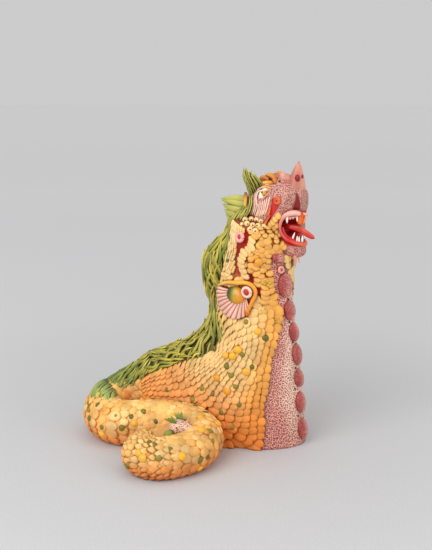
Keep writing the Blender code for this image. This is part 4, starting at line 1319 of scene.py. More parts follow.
def make_fan_eye():
    """A domed eye that goes from green to gold, its red bead in a pale ring, and the golden rim."""
    eye, ring, rim = Clay(), Clay(), Clay()
    centre = skin(2.06, 252, 0.004)
    out, down, across = skin_axes(2.0, 256)
    points, faces = ball(centre, (0.0185, 0.0158, 0.0095), (across, down, out), 28, 16)
    way = (points - centre) @ across
    shade, late = ease(way, -0.012, 0.002)[:, None], ease(way, -0.001, 0.01)[:, None]
    tint = blend(tone(58, 80, 12), tone(206, 172, 40), shade)
    eye.add(points, faces, blend(tint, tone(238, 160, 44), late))
    bead = skin(1.88, 269.5, 0.011)
    loop = [bead + 0.0078 * (cos(a) * across + sin(a) * down) for a in np.linspace(0, tau, 28)]
    lay(ring, loop, (0.003,), tone(246, 212, 204), 10, up=out)
    ring.add(*ball(bead, (0.006, 0.006, 0.004), (across, down, out), 18, 10), RED)
    path = curve_through(skin(*np.array(FAN_RIM).T, 0.0072), 40)
    lay(rim, path, 0.0042 * np.interp(np.linspace(0, 1, 14), (0, 0.15, 0.4, 0.75, 1), (0.4, 0.75, 1, 0.95, 0.8)),
        [tone(244, 200, 120), tone(244, 186, 66), tone(242, 160, 44), tone(240, 150, 40)], 10, up=FAN_OUT)
    for j in range(5):
        rim.add(*ball(path[-1] + 0.0036 * (cos(j * 1.3) * across + sin(j * 1.3) * down), (0.0026,) * 3),
                tone(226, 120, 34))
    for clay, name in ((eye, "fan_eye"), (ring, "fan_ring"), (rim, "fan_rim")):
        keep(clay.piece(name, paint_gloss))


make_fan()
make_fan_eye()


# %% Ringed buds
def make_buds():
    """A ringed bud beside the groove and a smaller one high on the belly."""
    clay = Clay()
    for (u, degrees), reach in (((0.29, 246), 0.0085), ((1.18, 321), 0.006)):
        out, along, turned = skin_axes(u, degrees)
        centre = skin(u, degrees, 0.004)
        loop = [centre + 0.68 * reach * (cos(a) * turned + 1.15 * sin(a) * along) for a in np.linspace(0, tau, 26)]
        lay(clay, loop, (0.42 * reach,), tone(244, 176, 170), 10, up=out)
        clay.add(*ball(centre, (0.5 * reach, 0.5 * reach, 0.4 * reach), (turned, along, out), 12, 8), RED)
    keep(clay.piece("ringed_buds", paint_gloss))


make_buds()

# %% [markdown]
# ## The great head
# The head looks a little toward us, so it gets axes of its own: ahead, to its
# right, and up. Its flesh is roughed out from a few lumps, pressed into one by
# remeshing and then smoothed, the way a thumb blends clay. Afterwards sockets
# are pushed in and the mouth is dug out.

# %% The head's own axes
HEAD_ORIGIN = np.array((0.018, -0.006, 0.447)) - FOOTPRINT_CENTRE
HEAD_TURN = radians(30)
AHEAD = np.array((cos(HEAD_TURN), -sin(HEAD_TURN), 0))
RIGHT = np.array((-sin(HEAD_TURN), -cos(HEAD_TURN), 0))
HEAD_AXES = np.stack((AHEAD, RIGHT, (0, 0, 1)))


def head(points, side=1):
    """Points given as ahead, right and rise of the head; side -1 puts them on its left."""
    return HEAD_ORIGIN + (np.asarray(points, float) * (1, side, 1)) @ HEAD_AXES


def mm(*lengths):
    """Millimetres as metres, however they are nested."""
    return tuple(mm(*v) if isinstance(v, tuple) else round(v / 1000, 6) for v in lengths)


def oval_rings(sections, sides, square):
    """Rings across the head, each from ahead, underside, top and half width."""
    a = (np.arange(sides) + 0.5) / sides * tau
    x, z = (np.sign(f(a)) * np.abs(f(a)) ** square for f in (np.cos, np.sin))
    rings = []
    for ahead, low, high, half in sections:
        rings.append(head(np.stack((np.full(sides, ahead), half * x, (low + high) / 2 + (high - low) / 2 * z),
                                   axis=1)))
    return rings


# %% Flesh of the head
SKULL_SECTIONS = mm((-56, -34, 8, 20), (-38, -56, 34, 33), (-12, -64, 52, 38), (12, -62, 56, 35), (24, -50, 52, 32),
                    (33, -19, 46, 29), (46, -8, 38, 23.5), (58.5, -10, 30, 15.5))
THROAT_SECTIONS = mm((-4, -74, -4, 26), (18, -73, -6, 28), (27, -67, -10, 23))
JAW_SECTIONS = mm((4, -90, -44, 24), (26, -89, -46, 26), (36, -90, -55.5, 23), (50, -91, -63, 17),
                  (59, -86, -65.5, 9))
EYE_CENTRE = np.array((-0.0092, 0.0262, 0.02))
VALLEY = mm((49.7, 20, 26), (51, 19.5, 15), (50.8, 19, 6), (49.5, 19, -2))
# the channel's first point reaches up beside the rosette; there its red is in part painted shade of the rosette
CHANNEL = mm((13, 33, 13), (15, 33.5, 4), (11.8, 32.5, -6), (7.2, 34, -15), (2, 35.2, -24.5), (-1, 38.5, -34.5))


def push(points, centre, reach, move):
    """Push points near a centre by a move that fades out at the reach."""
    near = np.clip(1 - (np.linalg.norm((points - centre), axis=1) / reach) ** 2, 0, 1) ** 2
    return points + near[:, None] * np.asarray(move)


def swath(points, path, widths):
    """1 for points within a band along a path, as wide as the widths say, and 0 outside."""
    places = curve_through(path, 40)
    away = np.linalg.norm(points[:, None] - places[None], axis=2)
    wide = np.interp(away.argmin(axis=1), np.linspace(0, 39, len(widths)), widths)
    return ease(wide - away.min(axis=1), 0, 0.0018)


def make_flesh():
    """Skull, cheeks and jaw blended into one."""
    clay = Clay()
    clay.add(*loft(oval_rings(SKULL_SECTIONS, 40, 0.85)), PINK)
    clay.add(*loft(oval_rings(THROAT_SECTIONS, 32, 0.5)), PINK)
    clay.add(*loft(oval_rings(JAW_SECTIONS, 32, 0.8)), PINK)
    far_cheek = head(curve_through(((0.034, -0.022, -0.004), (0.038, -0.023, -0.036), (0.036, -0.02, -0.072)), 12))
    clay.add(*rod(far_cheek, (0.009, 0.011, 0.009), 16, up=AHEAD), PINK)
    obj = clay.piece("head_flesh", paint_muzzle)
    fuse = obj.modifiers.new("fuse", "REMESH")
    fuse.mode, fuse.voxel_size = "VOXEL", 0.0014
    soften = obj.modifiers.new("soften", "SMOOTH")
    soften.factor, soften.iterations = 0.6, 9
    make_plain(obj)
    mesh = obj.data
    world = np.empty(len(mesh.vertices) * 3)
    mesh.vertices.foreach_get("co", world)
    local = (world.reshape(-1, 3) - HEAD_ORIGIN) @ HEAD_AXES.T
    for side in (1, -1):
        local = push(local, (EYE_CENTRE + (0, 0.004, 0)) * (1, side, 1), 0.016, (0, -0.006 * side, 0))
    face = np.abs(local * (0, 1, 0)) + local * (1, 0, 1)
    # the valley beside the nose is sunk and painted dark red; that red is in part painted shade in the gully
    valley = swath(face, VALLEY, (0.0022, 0.0046, 0.0066, 0.0078))
    channel = swath(face, CHANNEL, (0.004, 0.0084, 0.007, 0.0052, 0.004, 0.0022))
    local[:, 1] -= np.sign(local[:, 1]) * (0.003 * valley + 0.0025 * channel)
    mouth = ((1 - np.clip(np.abs(local[:, 1]) / 0.025, 0, 1) ** 2)
             * (1 - np.clip(np.abs(local[:, 2] + 0.038) / 0.029, 0, 1) ** 2)
             * ease(local[:, 0], 0.014, 0.022) * ease(0.034 - local[:, 0], 0, 0.004))
    local[:, 0] -= 0.012 * mouth
    mesh.vertices.foreach_set("co", (HEAD_ORIGIN + local @ HEAD_AXES).ravel())
    ahead, right, rise = local.T
    inside = (ease(ahead, 0.002, 0.012) * ease(0.0275 - np.abs(right), 0, 0.003) * ease(rise, -0.072, -0.066)
              * ease(-0.004 - rise, 0, 0.004)
              * ease(0.05 - ahead + 4 * np.maximum(0, np.abs(rise + 0.038) - 0.026), 0, 0.01))
    # painted shade: the inside of the mouth turns darker red toward its back
    deep = ease(0.02 - ahead, 0, 0.012)[:, None]
    tint = np.tile(tone(206, 156, 150), (len(local), 1))
    # painted shadow: dark brown on the flesh beneath the brow ribbons
    brow_shadow = ease(rise, 0.037, 0.041) * ease(np.abs(right), 0.014, 0.018) * ease(ahead, -0.022,
                                                                               -0.018) * ease(0.016 - ahead, 0, 0.003)
    for share, paint in ((brow_shadow, tone(112, 44, 22)), (valley, tone(146, 22, 24)), (channel, tone(196, 26, 20)),
                         (inside, blend(tone(190, 14, 22), tone(104, 6, 14), deep))):
        tint = blend(tint, paint, share[:, None])
    red = np.maximum.reduce((inside, channel, 0.8 * valley, brow_shadow))
    blush = np.clip(0.3 + 0.25 * ease(-rise, 0.06, 0.085) + 0.3 * ease(rise, 0.03, 0.05) * ease(ahead, 0.015, 0.03),
                    0, 1)
    put_attribute(mesh, "tint", tint)
    put_attribute(mesh, "rim", np.zeros(len(tint)))
    put_attribute(mesh, "blush", blush - 1.6 * red)
    for polygon in mesh.polygons:
        polygon.use_smooth = True
    mesh.materials.clear()
    mesh.materials.append(paint_muzzle)
    return keep(obj)


head_flesh = make_flesh()

# %% [markdown]
# ## Scales that climb over the cheek
# The gold scales of the neck run on over the jaw and stop under the eye. The
# head has no neat lengthwise direction, so these are pressed on from the
# side: a ray is sent at the cheek for each one, and the scale lies where it
# strikes.

# %% Press scales onto the cheeks
from mathutils import Vector
from mathutils.bvhtree import BVHTree


def clay_tree(objects):
    """One search tree over the faces of several pieces."""
    points, faces = [], []
    for obj in objects:
        start = len(points)
        points += [v.co[:] for v in obj.data.vertices]
        faces += [[start + i for i in p.vertices] for p in obj.data.polygons]
    return BVHTree.FromPolygons(points, faces)


CLAY_TREE = clay_tree([clay_core, head_flesh])


def strike(origin, direction):
    """Where a ray meets the clay, and which way the clay faces there."""
    place, normal, _, _ = CLAY_TREE.ray_cast(Vector(origin), Vector(direction), 0.3)
    return (None, None) if place is None else (np.array(place), np.array(normal))


def cheek_scales(name, side):
    """Scales between the neck's own and the eye, as far forward as the lip."""
    ring = skin(np.zeros(72), np.arange(72) * 5.0)
    middle = ring.mean(axis=0)
    above = unit(np.cross(ring[0] - middle, ring[18] - middle))
    spots = []
    for row in range(16):
        rise = -0.01 - 0.0054 * row
        top_edge = np.interp(rise, (-0.052, -0.044, -0.036, -0.026, -0.01), (-0.042, -0.03, -0.006, 0.008, 0.017))
        lip_edge = np.interp(rise, (-0.09, -0.075, -0.06, -0.048, -0.03, -0.01),
                             (0.041, 0.034, 0.029, 0.023, 0.0195, 0.023))
        for ahead in np.arange(-0.046 + 0.0045 * (row % 2), 0.06, 0.009):
            if not top_edge < ahead < lip_edge:
                continue
            ahead += rng.normal(0, 0.0007)
            place, normal = strike(head((ahead, 0.09, rise + rng.normal(0, 0.0006)), side), -RIGHT * side)
            if place is None or np.dot(place - middle, above) < 0.0005 or normal @ RIGHT * side < 0.2:
                continue
            fall = unit(np.cross(normal, np.cross(np.array((0.3, 0, -1.0)), normal)))
            size = np.array((0.0053, 0.0056, 0.0036)) * rng.uniform(0.92, 1.12)
            spots.append((place - normal * 0.0006, normal, fall, size, tone(246, 192, 104) * rng.uniform(0.88, 1.06)))
    set_pads(name, COIN_STAMP, list(zip(*spots)), paint_scales)


cheek_scales("near_cheek_scales", 1)
cheek_scales("far_cheek_scales", -1)

# %% [markdown]
# ## The face
# The face is laid on in ribbons, beads and rods: lids and brows over a
# glossy eye, standing flutes under it that end in a cluster of buds, a rosette
# on the cheek, lips, teeth and a long red tongue. What comes in pairs is made
# by one recipe run once for each side.

# %% Eyes and lids
TO_FRONT = unit(RIGHT + 0.45 * AHEAD)       # outward from the near cheek


def between(first, last, count, side=1, steps=14, jitter=0.0002, lift=0.0):
    """Paths that pass gradually from one path of the head to another."""
    first, last = curve_through(first, steps), curve_through(last, steps)
    for s in np.linspace(0, 1, count):
        shift = rng.normal(0, jitter, (steps, 3)) + rng.normal(0, 2 * jitter, 3) + (0, lift, 0)
        yield head(first * (1 - s) + last * s + shift, side)


def make_eyes():
    """Leaf-shaped eyes with an amber iris high in one corner, and the lids round them."""
    balls, lids = Clay(), Clay()
    slant = radians(55)
    for side in (1, -1):
        axes = np.array(((cos(slant), 0.1, sin(slant)), (-sin(slant), 0.2, cos(slant)), (0, 1, -0.12))) * (1, side, 1)
        axes = unit(axes @ HEAD_AXES)
        centre = head(EYE_CENTRE, side)
        points, faces = ball(centre, (0.015, 0.009, 0.0088), axes, 40, 30)
        local = (points - centre) @ axes.T
        iris = np.hypot(local[:, 0] - 0.0065, local[:, 1] + 0.0004)
        front = local[:, 2:] > 0
        iris_in = ease(0.0061 - iris, 0, 0.0008)[:, None] * front
        crescent = iris_in * ease(iris, 0.0026, 0.004)[:, None] * ease(-local[:, 1:2], -0.001, 0.002)
        tint = blend(tone(248, 246, 224), tone(214, 152, 44), iris_in)
        balls.add(points, faces, blend(tint, tone(96, 46, 8), 0.9 * crescent))
        balls.add(*ball(centre + axes[0] * 0.005 + axes[1] * 0.0032 + axes[2] * 0.0074,
                        (0.0021, 0.0021, 0.001), axes, 12, 6), tone(40, 20, 8))
        for path, radius, shades in (
                (((-13.3, 30.5, 32), (-7.4, 30.5, 35), (0.2, 30.2, 34.8), (8.4, 31, 30.8)), 0.002,
                 tones((246, 206, 130), (240, 180, 84), (232, 156, 64))),
                (((6, 30.5, 28.5), (-3, 33.2, 18), (-12.2, 35.8, 6.6)), 0.0017, (tone(222, 150, 142),))):
            lay(lids, head(curve_through(mm(*path), 20), side), radius * ROUND_ENDS, shades, 8, up=RIGHT * side)
    keep(balls.piece("eyes", paint_eyes))
    keep(lids.piece("eyelids", paint_lids))


paint_eyes = painted("glossy_eye", shade_colour=SHADE_ORANGE, roughness=0.16, mottle=0.04, grain=0.02, coat=0.6, deep=0.4, glaze=None)
paint_lids = painted("lid_paint", shade_colour=SHADE_ORANGE, roughness=0.42, mottle=0.12)
make_eyes()


# %% Brows, rosettes and ribbons
BROW_RIBBONS = mm((((-16.5, 26.5, 36.8), (-9.3, 27, 40.8), (0, 26.2, 42), (8.5, 24.5, 41.2)), 3.7),
                  (((-18.5, 24, 44), (-15, 23.5, 50), (-8.5, 23.8, 49.4), (-0.5, 24.5, 46.2)), 3.4),
                  (((-12, 19, 54), (-2.2, 19, 54.5), (6.2, 20, 50), (10, 22.5, 44), (8.3, 24.5, 40)), 4.3))


def make_ribbons():
    """Orange curls over each eye, a rosette on each cheek and the ribbon that hangs from it."""
    brows, discs = Clay(), Clay()
    gold, amber = tone(242, 184, 80), tone(206, 122, 34)
    for side in (1, -1):
        for k, (path, radius) in enumerate(BROW_RIBBONS):
            lay(brows, head(curve_through(path, 22), side), radius * ROUND_ENDS,
                (gold, gold if k == 0 else amber, amber), 9, up=RIGHT * side)
        # painted shade: a dark ball stands for the shadow in the hollow of each brow curl
        brows.add(*ball(head((0.0182, 0.021, 0.044), side), (0.0022, 0.003, 0.0022), HEAD_AXES, 12, 8),
                  tone(60, 14, 6))
        centre = head((0.0196, 0.033, 0.012), side)
        a = np.linspace(0, tau, 28)
        loop = centre + 0.005 * (np.outer(np.cos(a), AHEAD) + np.outer(np.sin(a), (0, 0, 1)))
        lay(discs, loop, (0.0025,), tones((240, 112, 66), (226, 74, 34), (240, 112, 66)), 10, up=RIGHT)
        discs.add(*ball(centre, (0.0046, 0.0024, 0.0046), HEAD_AXES, 14, 8), tone(216, 110, 50))
        # painted shade: a dark ball stands for the shadow in the rosette's hollow middle
        discs.add(*ball(centre + RIGHT * side * 0.0016, (0.0017, 0.0014, 0.0017), HEAD_AXES, 10, 6), tone(96, 12, 8))
        for path, radius, shades in (
                (((8, 35.2, 2), (6.2, 35.8, -8), (3, 36.2, -17)), 0.0021,
                 tones((232, 96, 60), (236, 120, 70))),
                (((8.5, 33.5, -12.5), (4.2, 35.5, -19), (0.2, 36.8, -27), (-2.2, 40.5, -35)), 0.0025,
                 tones((206, 40, 24), (216, 100, 36), (226, 130, 50)))):
            lay(discs, head(curve_through(mm(*path), 16), side), radius * ROUND_ENDS, shades, 8, up=RIGHT)
    keep(brows.piece("brow_ribbons", paint_lids))
    keep(discs.piece("cheek_rosettes", paint_lids))


make_ribbons()


# %% Flutes and buds under the eyes
RING_OUTER = mm((7, 28.3, 36.9), (-9.1, 27.2, 38.6), (-23.1, 26.7, 30.8), (-25.8, 32.6, 15.3), (-25.2, 35.3, -2),
                (-32.2, 35, -18.5))
RING_INNER = mm((-9.1, 30.9, 29.8), (-17.4, 31.9, 25.4), (-19.9, 34.5, 14.1), (-17.6, 36.7, 0.4),
                (-24.2, 35.1, -19.7))
FLUTE_FIRST = mm((-15.8, 36.5, 7), (-14.3, 37.4, -1.1), (-16.3, 37.1, -10.1), (-20.9, 35.6, -21.2))
FLUTE_LAST = mm((6, 32.5, 20), (3.8, 35.2, 6.5), (2, 36.1, -3.6), (-2.9, 36.4, -15.5))
BUD_SPOTS = mm((-25.8, 41.4, -22.6), (-17.9, 37.5, -24.3), (-8.8, 36, -26.5), (-28.1, 52.1, -29.4),
               (-18.1, 50.4, -31.5), (-9.4, 46.1, -33.2), (-2.8, 39.8, -34.5), (-20.9, 56.1, -38.9),
               (-11.4, 53.6, -40), (-34.6, 47.4, -23.4), (-38, 52, -32))


def make_flutes():
    """Ridges that curl round the eye and run on down the cheek, and the cluster of buds they end in."""
    flutes, buds = Clay(), Clay()
    shades = tones((246, 214, 198), (242, 202, 200), (252, 230, 208))
    for side in (1, -1):
        paths = list(between(RING_OUTER, RING_INNER, 3, side, 24, 0.0001, 0.001))
        paths += list(between(FLUTE_FIRST, FLUTE_LAST, 6, side, 16, 0.0001, 0.001))
        for path in paths:
            lay(flutes, path, 0.0016 * ROUND_ENDS, shades, 8, up=RIGHT)
        for spot in BUD_SPOTS:
            centre = head(np.array(spot) + rng.normal(0, 0.0004, 3), side)
            buds.add(*ball(centre, (0.0054, 0.0054, 0.0054), HEAD_AXES, 14, 9), tone(250, 222, 170))
            facing = unit(RIGHT * side + 0.45 * AHEAD + rng.normal(0, 0.15, 3))
            buds.add(*ball(centre + facing * 0.0048, (0.0016,) * 3, HEAD_AXES, 10, 6),
                     (tone(104, 84, 30), tone(90, 66, 24), tone(140, 126, 50))[rng.integers(0, 3)])
    keep(flutes.piece("cheek_flutes", paint_pale))
    keep(buds.piece("cheek_buds", paint_lids))


make_flutes()


# %% Horn, crown and chin drips
def make_horn():
    """The nose horn with its two pits, the tuft on the crown and the drips under the chin."""
    horn, pits, tufts = Clay(), Clay(), Clay()
    path = curve_through(mm((40, 0, 30), (41.2, 0, 42.4), (42.4, 0, 54.8), (43.4, 0, 67.2), (44.6, 0, 80)), 36)
    radii = (0.0175, 0.0166, 0.0152, 0.0136, 0.0119, 0.0099, 0.0078, 0.0052, 0.0)
    radii = np.append(np.interp(np.linspace(0, 8, 25), range(9), radii)[:-1], (0.003, 0.0))
    points, faces = rod(head(path), radii, 32, up=RIGHT)
    local = (points - HEAD_ORIGIN) @ HEAD_AXES.T
    # painted light: the horn is paler toward its front and its tip
    lit = (ease(local[:, 0] - local[:, 1] * 0.5, 0.045, 0.054)
           + 0.6 * ease(local[:, 2], 0.055, 0.078)).clip(0, 1)[:, None]
    horn.add(points, faces, blend(tone(196, 126, 114), tone(230, 166, 152), lit))
    for spot, size in (((0.0478, 0.0116, 0.0505), (0.005, 0.003, 0.0064)),
                       ((0.054, 0.004, 0.053), (0.0016, 0.0026, 0.0036))):
        pits.add(*ball(head(spot), size, HEAD_AXES, 14, 10), tone(140, 8, 26))
    for path, wide, shade in (
            (((23, 9, 44), (19.5, 10, 54), (17.8, 10, 61.2)), 0.0075, tone(224, 160, 150)),
            (((29, 6, 43), (27.5, 7, 51), (26.2, 7, 57.5)), 0.0075, tone(216, 150, 142)),
            (((46, 10, -78), (46.6, 12, -86), (47.1, 12, -109.4)), 0.004, tone(232, 160, 160)),
            (((51, 5, -78), (51.2, 6, -87), (52.3, 6, -101.8)), 0.0028, tone(240, 186, 140)),
            (((37.3, 11, -80), (37.3, 12, -88), (37.6, 12, -101.3)), 0.0026, tone(226, 206, 90)),
            (((42, 2, -80), (42.4, 2, -88), (43, 2, -98)), 0.003, tone(240, 200, 150))):
        lay(tufts, head(curve_through(mm(*path), 14)), wide * np.array((0.9, 1, 1, 0.9, 0.75, 0.5, 0)), shade, 10,
            up=RIGHT)
    for clay, name, paint in ((horn, "nose_horn", paint_pale), (pits, "horn_pits", paint_pale),
                              (tufts, "crown_and_drips", paint_pale)):
        keep(clay.piece(name, paint))


make_horn()


# %% Mouth: lips, teeth and tongue
LIP = mm((60.5, 0, -13.8), (59, 4, -13.3), (53.1, 10, -11.4), (46.7, 17, -9.6), (39.9, 23, -10.5), (32.3, 27, -14.3),
         (27.2, 29, -21.2), (25, 30, -30.1), (25, 30, -38.9), (27.9, 29, -46.8), (34, 27, -54.1), (41.4, 24, -58.7),
         (48.8, 19, -62.4), (55.2, 12, -65.2), (58.8, 5, -66), (59.8, 0, -66.2))
LIP_RADII = np.array((34, 38, 46, 52, 52, 43, 33, 26, 24, 26, 29, 31, 33, 36, 35, 34)) * 1e-4
LIP_TINTS = tones((252, 204, 192), (252, 206, 194), (248, 190, 180), (236, 140, 132), (230, 96, 94),
             (218, 48, 42), (240, 92, 64), (250, 120, 84))
GUM = mm((29.6, 25, -20.7), (35.8, 22, -18), (43, 17, -16.5), (49.4, 10, -17.6))
LOWER_GUM = mm((28.3, 26, -33), (29.5, 26, -41.7), (33.5, 24, -49.7), (39.9, 21, -54.9), (47.3, 16, -59.1),
               (52.3, 10, -61.7))
TEETH = mm(((35.4, 24.5, -15), (35.9, 25, -28.5), 2.3), ((48.6, 12, -15), (49.7, 12, -26.8), 2.1),
           ((43.4, 18, -56), (48.3, 18, -42.8), 1.8), ((50.8, 15, -60), (51.3, 15, -49.2), 1.6),
           ((53.3, 12, -61), (53.7, 12, -50.4), 1.8), ((56.6, 6, -62), (57.5, 6, -48.8), 2.3))
TONGUE = mm((8, 1, -38), (20, 4, -35), (31.6, 6, -36.2), (44.7, 5, -38.1), (54.5, 3, -42), (64, 2, -47),
            (72.5, 1, -52), (78.5, 0, -55))


def make_mouth():
    """Lips that change from pale pink to red, gums with their teeth, and the tongue."""
    lips, teeth, tongue = Clay(), Clay(), Clay()
    for side in (1, -1):
        lay(lips, head(curve_through(LIP, 60), side), LIP_RADII, LIP_TINTS, 12, up=RIGHT * side)
        lay(lips, head(curve_through(GUM, 24), side), 0.0026 * ROUND_ENDS, tone(232, 160, 160), 10, up=RIGHT * side)
        lay(lips, head(curve_through(LOWER_GUM, 30), side), 0.0027 * ROUND_ENDS, RED, 10, up=RIGHT * side)
        for root in ((0.0395, 0.021, -0.0185), (0.0437, 0.018, -0.0178)):
            lips.add(*ball(head(root, side), (0.0026, 0.0022, 0.003), HEAD_AXES), tone(238, 184, 184))
        for root, tip, thick in TEETH if side > 0 else TEETH[::3]:
            lay(teeth, head(curve_through((root, tip), 7), side), thick * np.array((1, 1, 0.9, 0.65, 0)), IVORY, 10,
                up=AHEAD)
    points, faces = rod(head(curve_through(TONGUE, 36)),
                        np.array((62, 64, 62, 62, 62, 62, 61, 60, 59, 58, 56, 52, 46, 34, 0)) * 1e-4, 24, 0.95)
    local = (points - HEAD_ORIGIN) @ HEAD_AXES.T
    keys = np.array(TONGUE)
    above = local[:, 2] - np.interp(local[:, 0], keys[:, 0], keys[:, 2])
    # painted shade: the groove down the tongue's middle is darkened as well as sunk
    crease = (np.exp(-((above - 0.0008) / 0.0013) ** 2) * (local[:, 1] > 0)
              * ease(0.074 - local[:, 0], 0, 0.01))[:, None]
    late = ease(local[:, 0], 0.03, 0.062)[:, None]
    # painted highlight: a paler stripe along the tongue's upper edge
    edge = (0.6 * ease(above, 0.002, 0.005) * late[:, 0])[:, None]
    tint = blend(tone(200, 4, 14), tone(216, 42, 30), late)
    tint = blend(tint, tone(236, 112, 80), edge)
    tongue.add(points - 0.0012 * crease * TO_FRONT, faces, tint * (1 - 0.4 * crease))
    for clay, name, paint in ((lips, "lips", paint_gloss), (teeth, "teeth", paint_enamel),
                              (tongue, "tongue", paint_wet)):
        keep(clay.piece(name, paint))


paint_enamel = painted("tooth_enamel", shade_colour=WINE, roughness=0.25, mottle=0.06, grain=0.02, coat=0.3, deep=0.35,
                       glaze=None)
paint_wet = painted("wet_red", shade_colour=WINE, roughness=0.22, mottle=0.1, grain=0.04, coat=0.5, deep=0.4)
make_mouth()


# %% Leaves at the mouth and the ears
def petal(clay, root, tip, across, wide, thick, tints, bend=0.0, sides=10):
    """A leaf from root to tip: broad in its middle, thin, and bent up or down."""
    root, tip = np.asarray(root, float), np.asarray(tip, float)
    over = unit(np.cross(tip - root, across))
    t = np.linspace(0, 1, 14)
    path = root + np.outer(t, tip - root) + np.outer(bend * np.sin(pi * t), over)
    radii = wide * np.interp(t, (0, 0.15, 0.4, 0.7, 0.92, 1), (0.55, 0.85, 1, 0.75, 0.3, 0))
    lay(clay, path, radii, tints, sides, thick / wide, up=over)


TUFT = mm(((-30, 33, 8), (-36.7, 33, 30.7), (-46.2, 33, 49.6), (-44, 33, 68)),
          ((-24.5, 34, 24), (-32.3, 36, 42.6), (-39, 35, 56), (-38.5, 33, 66)),
          ((-11, 30, 40), (-14.2, 31, 44.8), (-19.6, 32, 51), (-24, 33, 57.5)))
NAPE_STRANDS = mm(((-27.2, 42, 5.8), (-31.5, 46, -6.5), (-37.8, 47, -19.2), (-43.2, 48, -36)),
                  ((-50, 35, -3.7), (-61, 38, -16.7), (-71.5, 38, -31.9), (-80, 36, -49.2)))
FACE_STRANDS = mm(((-33.5, 36, 19), (-31.8, 39, 5.3), (-34.6, 42, -8.9), (-43.5, 43, -20.2), (-51.5, 44, -34.3)),
                  ((-26.2, 34.5, 24.5), (-26, 38.5, 5.7), (-28.5, 42, -8.3), (-35, 45, -19.3), (-45.5, 45, -31.8)))
BLADES = mm(((-49.2, 30, 11), (-69.5, 30, 10.7), (-96.3, 30, 8.2)),
            ((-50, 32, 1.4), (-70.4, 32, 3.7), (-94.2, 30, 5.6)),
            ((-50.9, 34, -9.2), (-73.3, 34, -6.2), (-92.1, 30, -0.6)),
            ((-52.9, 34, -20.1), (-73.3, 34, -16.1), (-87.9, 30, -10.3)),
            ((-54.8, 34, -29.2), (-71.7, 33, -25.2), (-84.8, 30, -18.3)),
            ((-58.9, 34, -35), (-71.7, 33, -32.4), (-80.6, 30, -25.3)))
EAR_STRIP = mm((-41.5, 34, 23.2), (-39.8, 38, 11.4), (-39.8, 39, 2.7), (-38.3, 39, -5.3))


def make_ears():
    """An upright tuft of strands, a fan of smooth blades behind it, and the strands that join them."""
    tuft, leaves, corner = Clay(), Clay(), Clay()
    light, mid, dark = tone(208, 206, 108), tone(170, 168, 68), tone(128, 130, 48)
    for side, reach in ((1, 1.0), (-1, 0.75)):
        shorter = (1 if side > 0 else 0.85, 1, reach)
        low, middle, high = (np.array(path) * shorter for path in TUFT)
        strands = list(between(low, middle, 5, side, 14, 0.0004)) + list(between(middle, high, 6, side, 14,
                                                                                 0.0004))[1:]
        for k, path in enumerate(strands):
            lay(tuft, path + 0.0016 * (k % 2) * RIGHT * side, (0.002, 0.0017)[k % 2] * POINTED_END,
                (dark, mid, light if k % 3 else mid), 8, up=RIGHT)
        # painted shade: a dark leaf behind the tuft's strands stands for the shade between them
        petal(tuft, head(np.array((-0.02, 0.027, 0.016)) * shorter, side),
              head(np.array((-0.04, 0.029, 0.06)) * shorter, side),
              AHEAD, 0.012, 0.005, tone(104, 106, 36))
        for k, path in enumerate(between(*NAPE_STRANDS, 10, side, 14, 0.0004)):
            lay(tuft, path + 0.0015 * (k % 2) * RIGHT * side, 0.0021 * POINTED_END[::-1],
                (mid, light if k % 2 else mid, mid), 8, up=RIGHT)
        for k, path in enumerate(between(*FACE_STRANDS, 4, side, 18, 0.0002)):
            lay(tuft, path + 0.0012 * (k % 2) * RIGHT * side, 0.0014 * ROUND_ENDS,
                (mid, light if k % 2 else mid, mid), 8, up=RIGHT)
        for k, blade in enumerate(BLADES):
            path = np.array(((-0.034, 0.029, 0.8 * blade[0][2]),) + blade) * (shorter[0], 1, 1)
            lay(leaves, head(curve_through(path, 22), side), np.array((46, 58, 64, 64, 60, 50, 34, 0)) * 1e-4,
                tones((150, 152, 66), (190, 190, 98), (176, 182, 92)), 12, 0.5, up=RIGHT)
        # painted shade: a dark broad leaf under the blades stands for the shade between them
        petal(leaves, head((-0.034, 0.026, -0.014), side), head((-0.086 * shorter[0], 0.025, -0.003), side),
              (0, 0, 1), 0.02, 0.005,
              tone(104, 104, 34), 0.0, 14)
        lay(corner, head(curve_through(EAR_STRIP, 18), side), np.array((24, 36, 38, 36, 33, 30, 24, 10)) * 1e-4,
            tones((120, 40, 34), (226, 156, 60), (244, 196, 96), (248, 214, 110)), 10, 0.6, up=RIGHT)
    petal(corner, head((0.0525, 0.01, -0.03)), head((0.059, 0.013, -0.006)), AHEAD, 0.0056, 0.003,
          tones((238, 122, 44), (238, 108, 32), (216, 44, 22)), 0.001)
    petal(corner, head((0.0585, 0.007, -0.029)), head((0.063, 0.008, -0.012)), AHEAD, 0.0028, 0.0022,
          tone(244, 156, 120), 0.001)
    for clay, name, paint in ((tuft, "ear_tufts", paint_mane), (leaves, "ear_leaves", paint_leaf),
                              (corner, "ribbon_ends", paint_lids)):
        keep(clay.piece(name, paint))


paint_leaf = painted("leaf_paint", shade_colour=SHADE_OLIVE, rim_shade_share=0.4, roughness=0.48, mottle=0.18)
make_ears()

# %% [markdown]
# ## The second head, at the tip of the tail
# The tail curls into the middle of its own coil and ends in a blunt little
# snout. It is a toy version of the great head: a pricked pink muzzle, a red
# mouth, two leaf ears and a green ball beside it.

# %% The small head
SMALL_ROOT = np.array((-0.163, -0.092, 0.061)) - FOOTPRINT_CENTRE
SMALL_NOSE = np.array((-0.129, -0.116, 0.066)) - FOOTPRINT_CENTRE
SMALL_AHEAD = unit(SMALL_NOSE - SMALL_ROOT)
SMALL_RIGHT = unit(np.cross(SMALL_AHEAD, (0, 0, 1)))
SMALL_AXES = np.stack((SMALL_AHEAD, SMALL_RIGHT, np.cross(SMALL_RIGHT, SMALL_AHEAD)))


def small(points):
    """Points given as ahead, right and rise of the small head."""
    return SMALL_ROOT + np.asarray(points, float) @ SMALL_AXES


